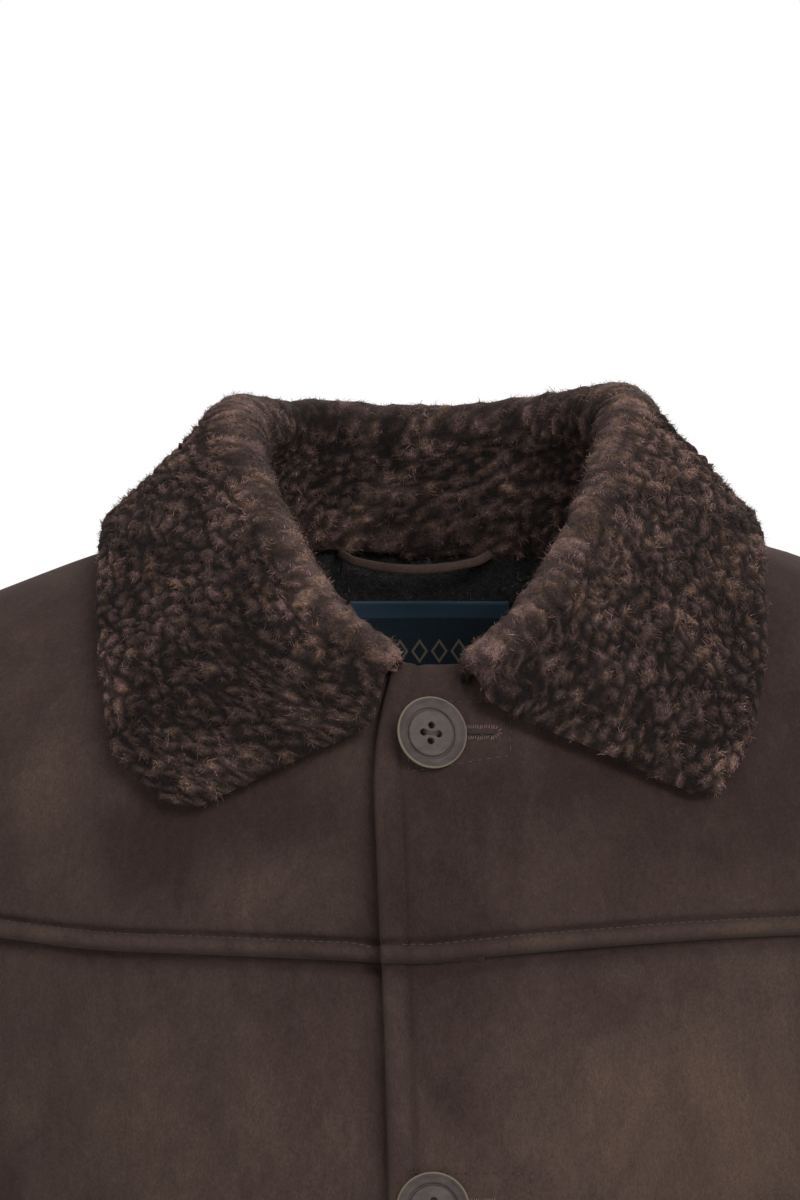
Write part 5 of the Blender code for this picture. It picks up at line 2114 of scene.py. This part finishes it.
def make_stage(stage):
    scene = bpy.context.scene
    camera = bpy.data.cameras.new("camera")
    camera.lens = stage.lens * 1000.0
    camera.sensor_width = 36.0
    camera.clip_end = 60.0
    holder = linked("camera", camera)
    holder.location = stage.camera
    holder.rotation_euler = (QUARTER, 0.0, 0.0)
    scene.camera = holder
    world = bpy.data.worlds.new("studio")
    scene.world = world
    world.use_nodes = True
    tree = world.node_tree
    room = tree.nodes["Background"]
    room.inputs["Color"].default_value = (1.0, 0.99, 0.98, 1.0)
    room.inputs["Strength"].default_value = stage.room_light
    backdrop = tree.nodes.new("ShaderNodeBackground")
    backdrop.inputs["Color"].default_value = (1.0, 1.0, 1.0, 1.0)
    path = tree.nodes.new("ShaderNodeLightPath")
    choice = tree.nodes.new("ShaderNodeMixShader")
    tree.links.new(path.outputs["Is Camera Ray"], choice.inputs[0])
    tree.links.new(room.outputs[0], choice.inputs[1])
    tree.links.new(backdrop.outputs[0], choice.inputs[2])
    tree.links.new(choice.outputs[0], tree.nodes["World Output"].inputs["Surface"])
    made = bmesh.new()
    bmesh.ops.create_grid(made, x_segments=1, y_segments=1, size=12.0)
    bmesh.ops.translate(made, verts=made.verts, vec=(0.0, 0.0, HEM_Z - 0.02))
    floor = linked("floor", baked(made, "floor"))
    paint = Nodes("pale floor").finish((0.86, 0.86, 0.85), roughness=0.9)
    floor.data.materials.append(paint)
    for name, place, wide, tall, power, colour in LAMPS:
        add_light(name, place, wide, tall, power * stage.power, colour)
    scene.view_settings.view_transform = "Standard"
    scene.view_settings.look = "None"


# --- The add-on ---


def colour_of(name, description, default):
    return FloatVectorProperty(
        name=name, description="Colour of the " + description, default=default, subtype="COLOR"
    )


class ClothSettings(bpy.types.PropertyGroup):
    """Colours of the jacket's cloth and how thick its pile grows."""

    suede: colour_of("Suede", "faux suede", (0.0515, 0.0343, 0.0304))
    # Pile roots are dark partly in the pile's own colour and partly as painted shade deep in the
    # pile
    pile_root: colour_of("Pile root", "collar's pile in its recesses", (0.0110, 0.0075, 0.0066))
    pile_tip: colour_of("Pile tip", "tips of the collar's pile", (0.165, 0.110, 0.094))
    lining_root: colour_of("Lining root", "lining's pile in its recesses", (0.0260, 0.0320, 0.0360))
    lining_tip: colour_of("Lining tip", "tips of the lining's pile", (0.170, 0.180, 0.190))
    thread: colour_of("Thread", "sewing thread", (0.050, 0.031, 0.027))
    button: colour_of("Button", "buttons", (0.076, 0.0600, 0.0570))
    # Colour of the highlight painted along the buttons' thin edge
    button_rim_highlight: colour_of("Button rim", "buttons' thin edge", (0.19, 0.155, 0.105))
    label: colour_of("Label", "woven label", (0.0092, 0.0235, 0.0390))
    label_rule: colour_of("Label motif", "lozenges woven into the label", (0.235, 0.190, 0.125))
    collar_strands: IntProperty(
        name="Collar strands",
        description="Number of strands in each third of the collar's pile",
        default=STRANDS,
        min=1,
    )
    lining_strands: IntProperty(
        name="Lining strands",
        description="Number of strands in the lining's pile",
        default=LINING_STRANDS,
        min=1,
    )


class StageSettings(bpy.types.PropertyGroup):
    """Camera and light."""

    camera: FloatVectorProperty(
        name="Camera",
        description="Place of the camera, which looks along +Y",
        default=(-0.012, -2.525, -0.0355),
        subtype="TRANSLATION",
        unit="LENGTH",
    )
    lens: FloatProperty(
        name="Lens",
        description="Focal length of the camera",
        default=0.1885,
        unit="LENGTH",
    )
    room_light: FloatProperty(
        name="Room light",
        description="Strength of the light from all round",
        default=0.35,
        min=0.0,
    )
    power: FloatProperty(
        name="Power",
        description="Share of the lamps' full power",
        default=1.0,
        min=0.0,
    )


def make_finishes(cloth):
    return {
        "suede": suede_finish(cloth),
        "pile": pile_finish("faux shearling", tuple(cloth.pile_root), tuple(cloth.pile_tip), 0.04),
        "lining": pile_finish("dark pile", tuple(cloth.lining_root), tuple(cloth.lining_tip), 0.05),
        "thread": thread_finish(cloth),
        # Painted light: darker copies of the thread for shade, a lighter one for the buttonholes'
        # highlight
        "edge": thread_finish(cloth, "edge thread in painted shade", 0.26),
        "buttonhole": thread_finish(cloth, "buttonhole thread with painted highlight", 2.3),
        "slit": thread_finish(cloth, "slit shadow", 0.08),
        "prick": thread_finish(cloth, "needle hole shade", 0.16),
        "button": button_finish(cloth),
        "label": label_finish(cloth),
    }


def jacket_finishes(context):
    """The jacket's materials, made when they are first asked for."""
    if not FINISHES:
        FINISHES.update(make_finishes(context.scene.jacket_cloth))
    return FINISHES


class JACKET_OT_stage(bpy.types.Operator):
    """Set the camera, the floor and the light"""

    bl_idname = "jacket.stage"
    bl_label = "Stage"

    def execute(self, context):
        make_stage(context.scene.jacket_stage)
        return {"FINISHED"}


class JACKET_OT_body(bpy.types.Operator):
    """Lay the back, the fronts and the yokes"""

    bl_idname = "jacket.body"
    bl_label = "Body"

    def execute(self, context):
        suede = jacket_finishes(context)["suede"]
        back = make_back(suede)
        for side in (LEFT, RIGHT):
            make_front(side, suede)
            make_yoke(side, suede)
        return {"FINISHED"}


class JACKET_OT_sleeves(bpy.types.Operator):
    """Lay the sleeves"""

    bl_idname = "jacket.sleeves"
    bl_label = "Sleeves"

    def execute(self, context):
        for side in (LEFT, RIGHT):
            sleeve = make_sleeve(side, jacket_finishes(context)["suede"])
        return {"FINISHED"}


class JACKET_OT_collar(bpy.types.Operator):
    """Make the undercollar and the collar's pile"""

    bl_idname = "jacket.collar"
    bl_label = "Collar"

    def execute(self, context):
        under = make_undercollar(jacket_finishes(context)["suede"])
        strand_count = context.scene.jacket_cloth.collar_strands
        make_collar(jacket_finishes(context)["pile"], strand_count)
        return {"FINISHED"}


class JACKET_OT_neck(bpy.types.Operator):
    """Make the lining, the label and the hanger loop"""

    bl_idname = "jacket.neck"
    bl_label = "Inside the neck"

    def execute(self, context):
        strand_count = context.scene.jacket_cloth.lining_strands
        make_lining(jacket_finishes(context)["lining"], strand_count)
        label = make_label(jacket_finishes(context)["label"])
        make_loop(jacket_finishes(context)["suede"])
        return {"FINISHED"}


class JACKET_OT_sewing(bpy.types.Operator):
    """Sew on the buttons and the stitching"""

    bl_idname = "jacket.sewing"
    bl_label = "Buttons and stitching"

    def execute(self, context):
        make_buttons(jacket_finishes(context))
        make_stitching(jacket_finishes(context))
        make_buttonholes(jacket_finishes(context))
        return {"FINISHED"}


class JACKET_PT_panel(bpy.types.Panel):
    """Lists the jacket's settings and pieces"""

    bl_idname = "JACKET_PT_panel"
    bl_label = "Jacket"
    bl_space_type = "VIEW_3D"
    bl_region_type = "UI"
    bl_category = "Jacket"

    def draw(self, context):
        for group in (context.scene.jacket_cloth, context.scene.jacket_stage):
            box = self.layout.box()
            for name in type(group).__annotations__:
                box.prop(group, name)
        for operator in OPERATORS:
            self.layout.operator(operator.bl_idname)


OPERATORS = (
    JACKET_OT_stage,
    JACKET_OT_body,
    JACKET_OT_sleeves,
    JACKET_OT_collar,
    JACKET_OT_neck,
    JACKET_OT_sewing,
)
CLASSES = (ClothSettings, StageSettings, *OPERATORS, JACKET_PT_panel)


def register():
    for one in CLASSES:
        bpy.utils.register_class(one)
    bpy.types.Scene.jacket_cloth = PointerProperty(type=ClothSettings)
    bpy.types.Scene.jacket_stage = PointerProperty(type=StageSettings)


def unregister():
    del bpy.types.Scene.jacket_stage
    del bpy.types.Scene.jacket_cloth
    for one in reversed(CLASSES):
        bpy.utils.unregister_class(one)


def main():
    register()
    bpy.ops.jacket.stage()
    bpy.ops.jacket.body()
    bpy.ops.jacket.sleeves()
    bpy.ops.jacket.collar()
    bpy.ops.jacket.neck()
    bpy.ops.jacket.sewing()


if __name__ == "__main__":
    main()
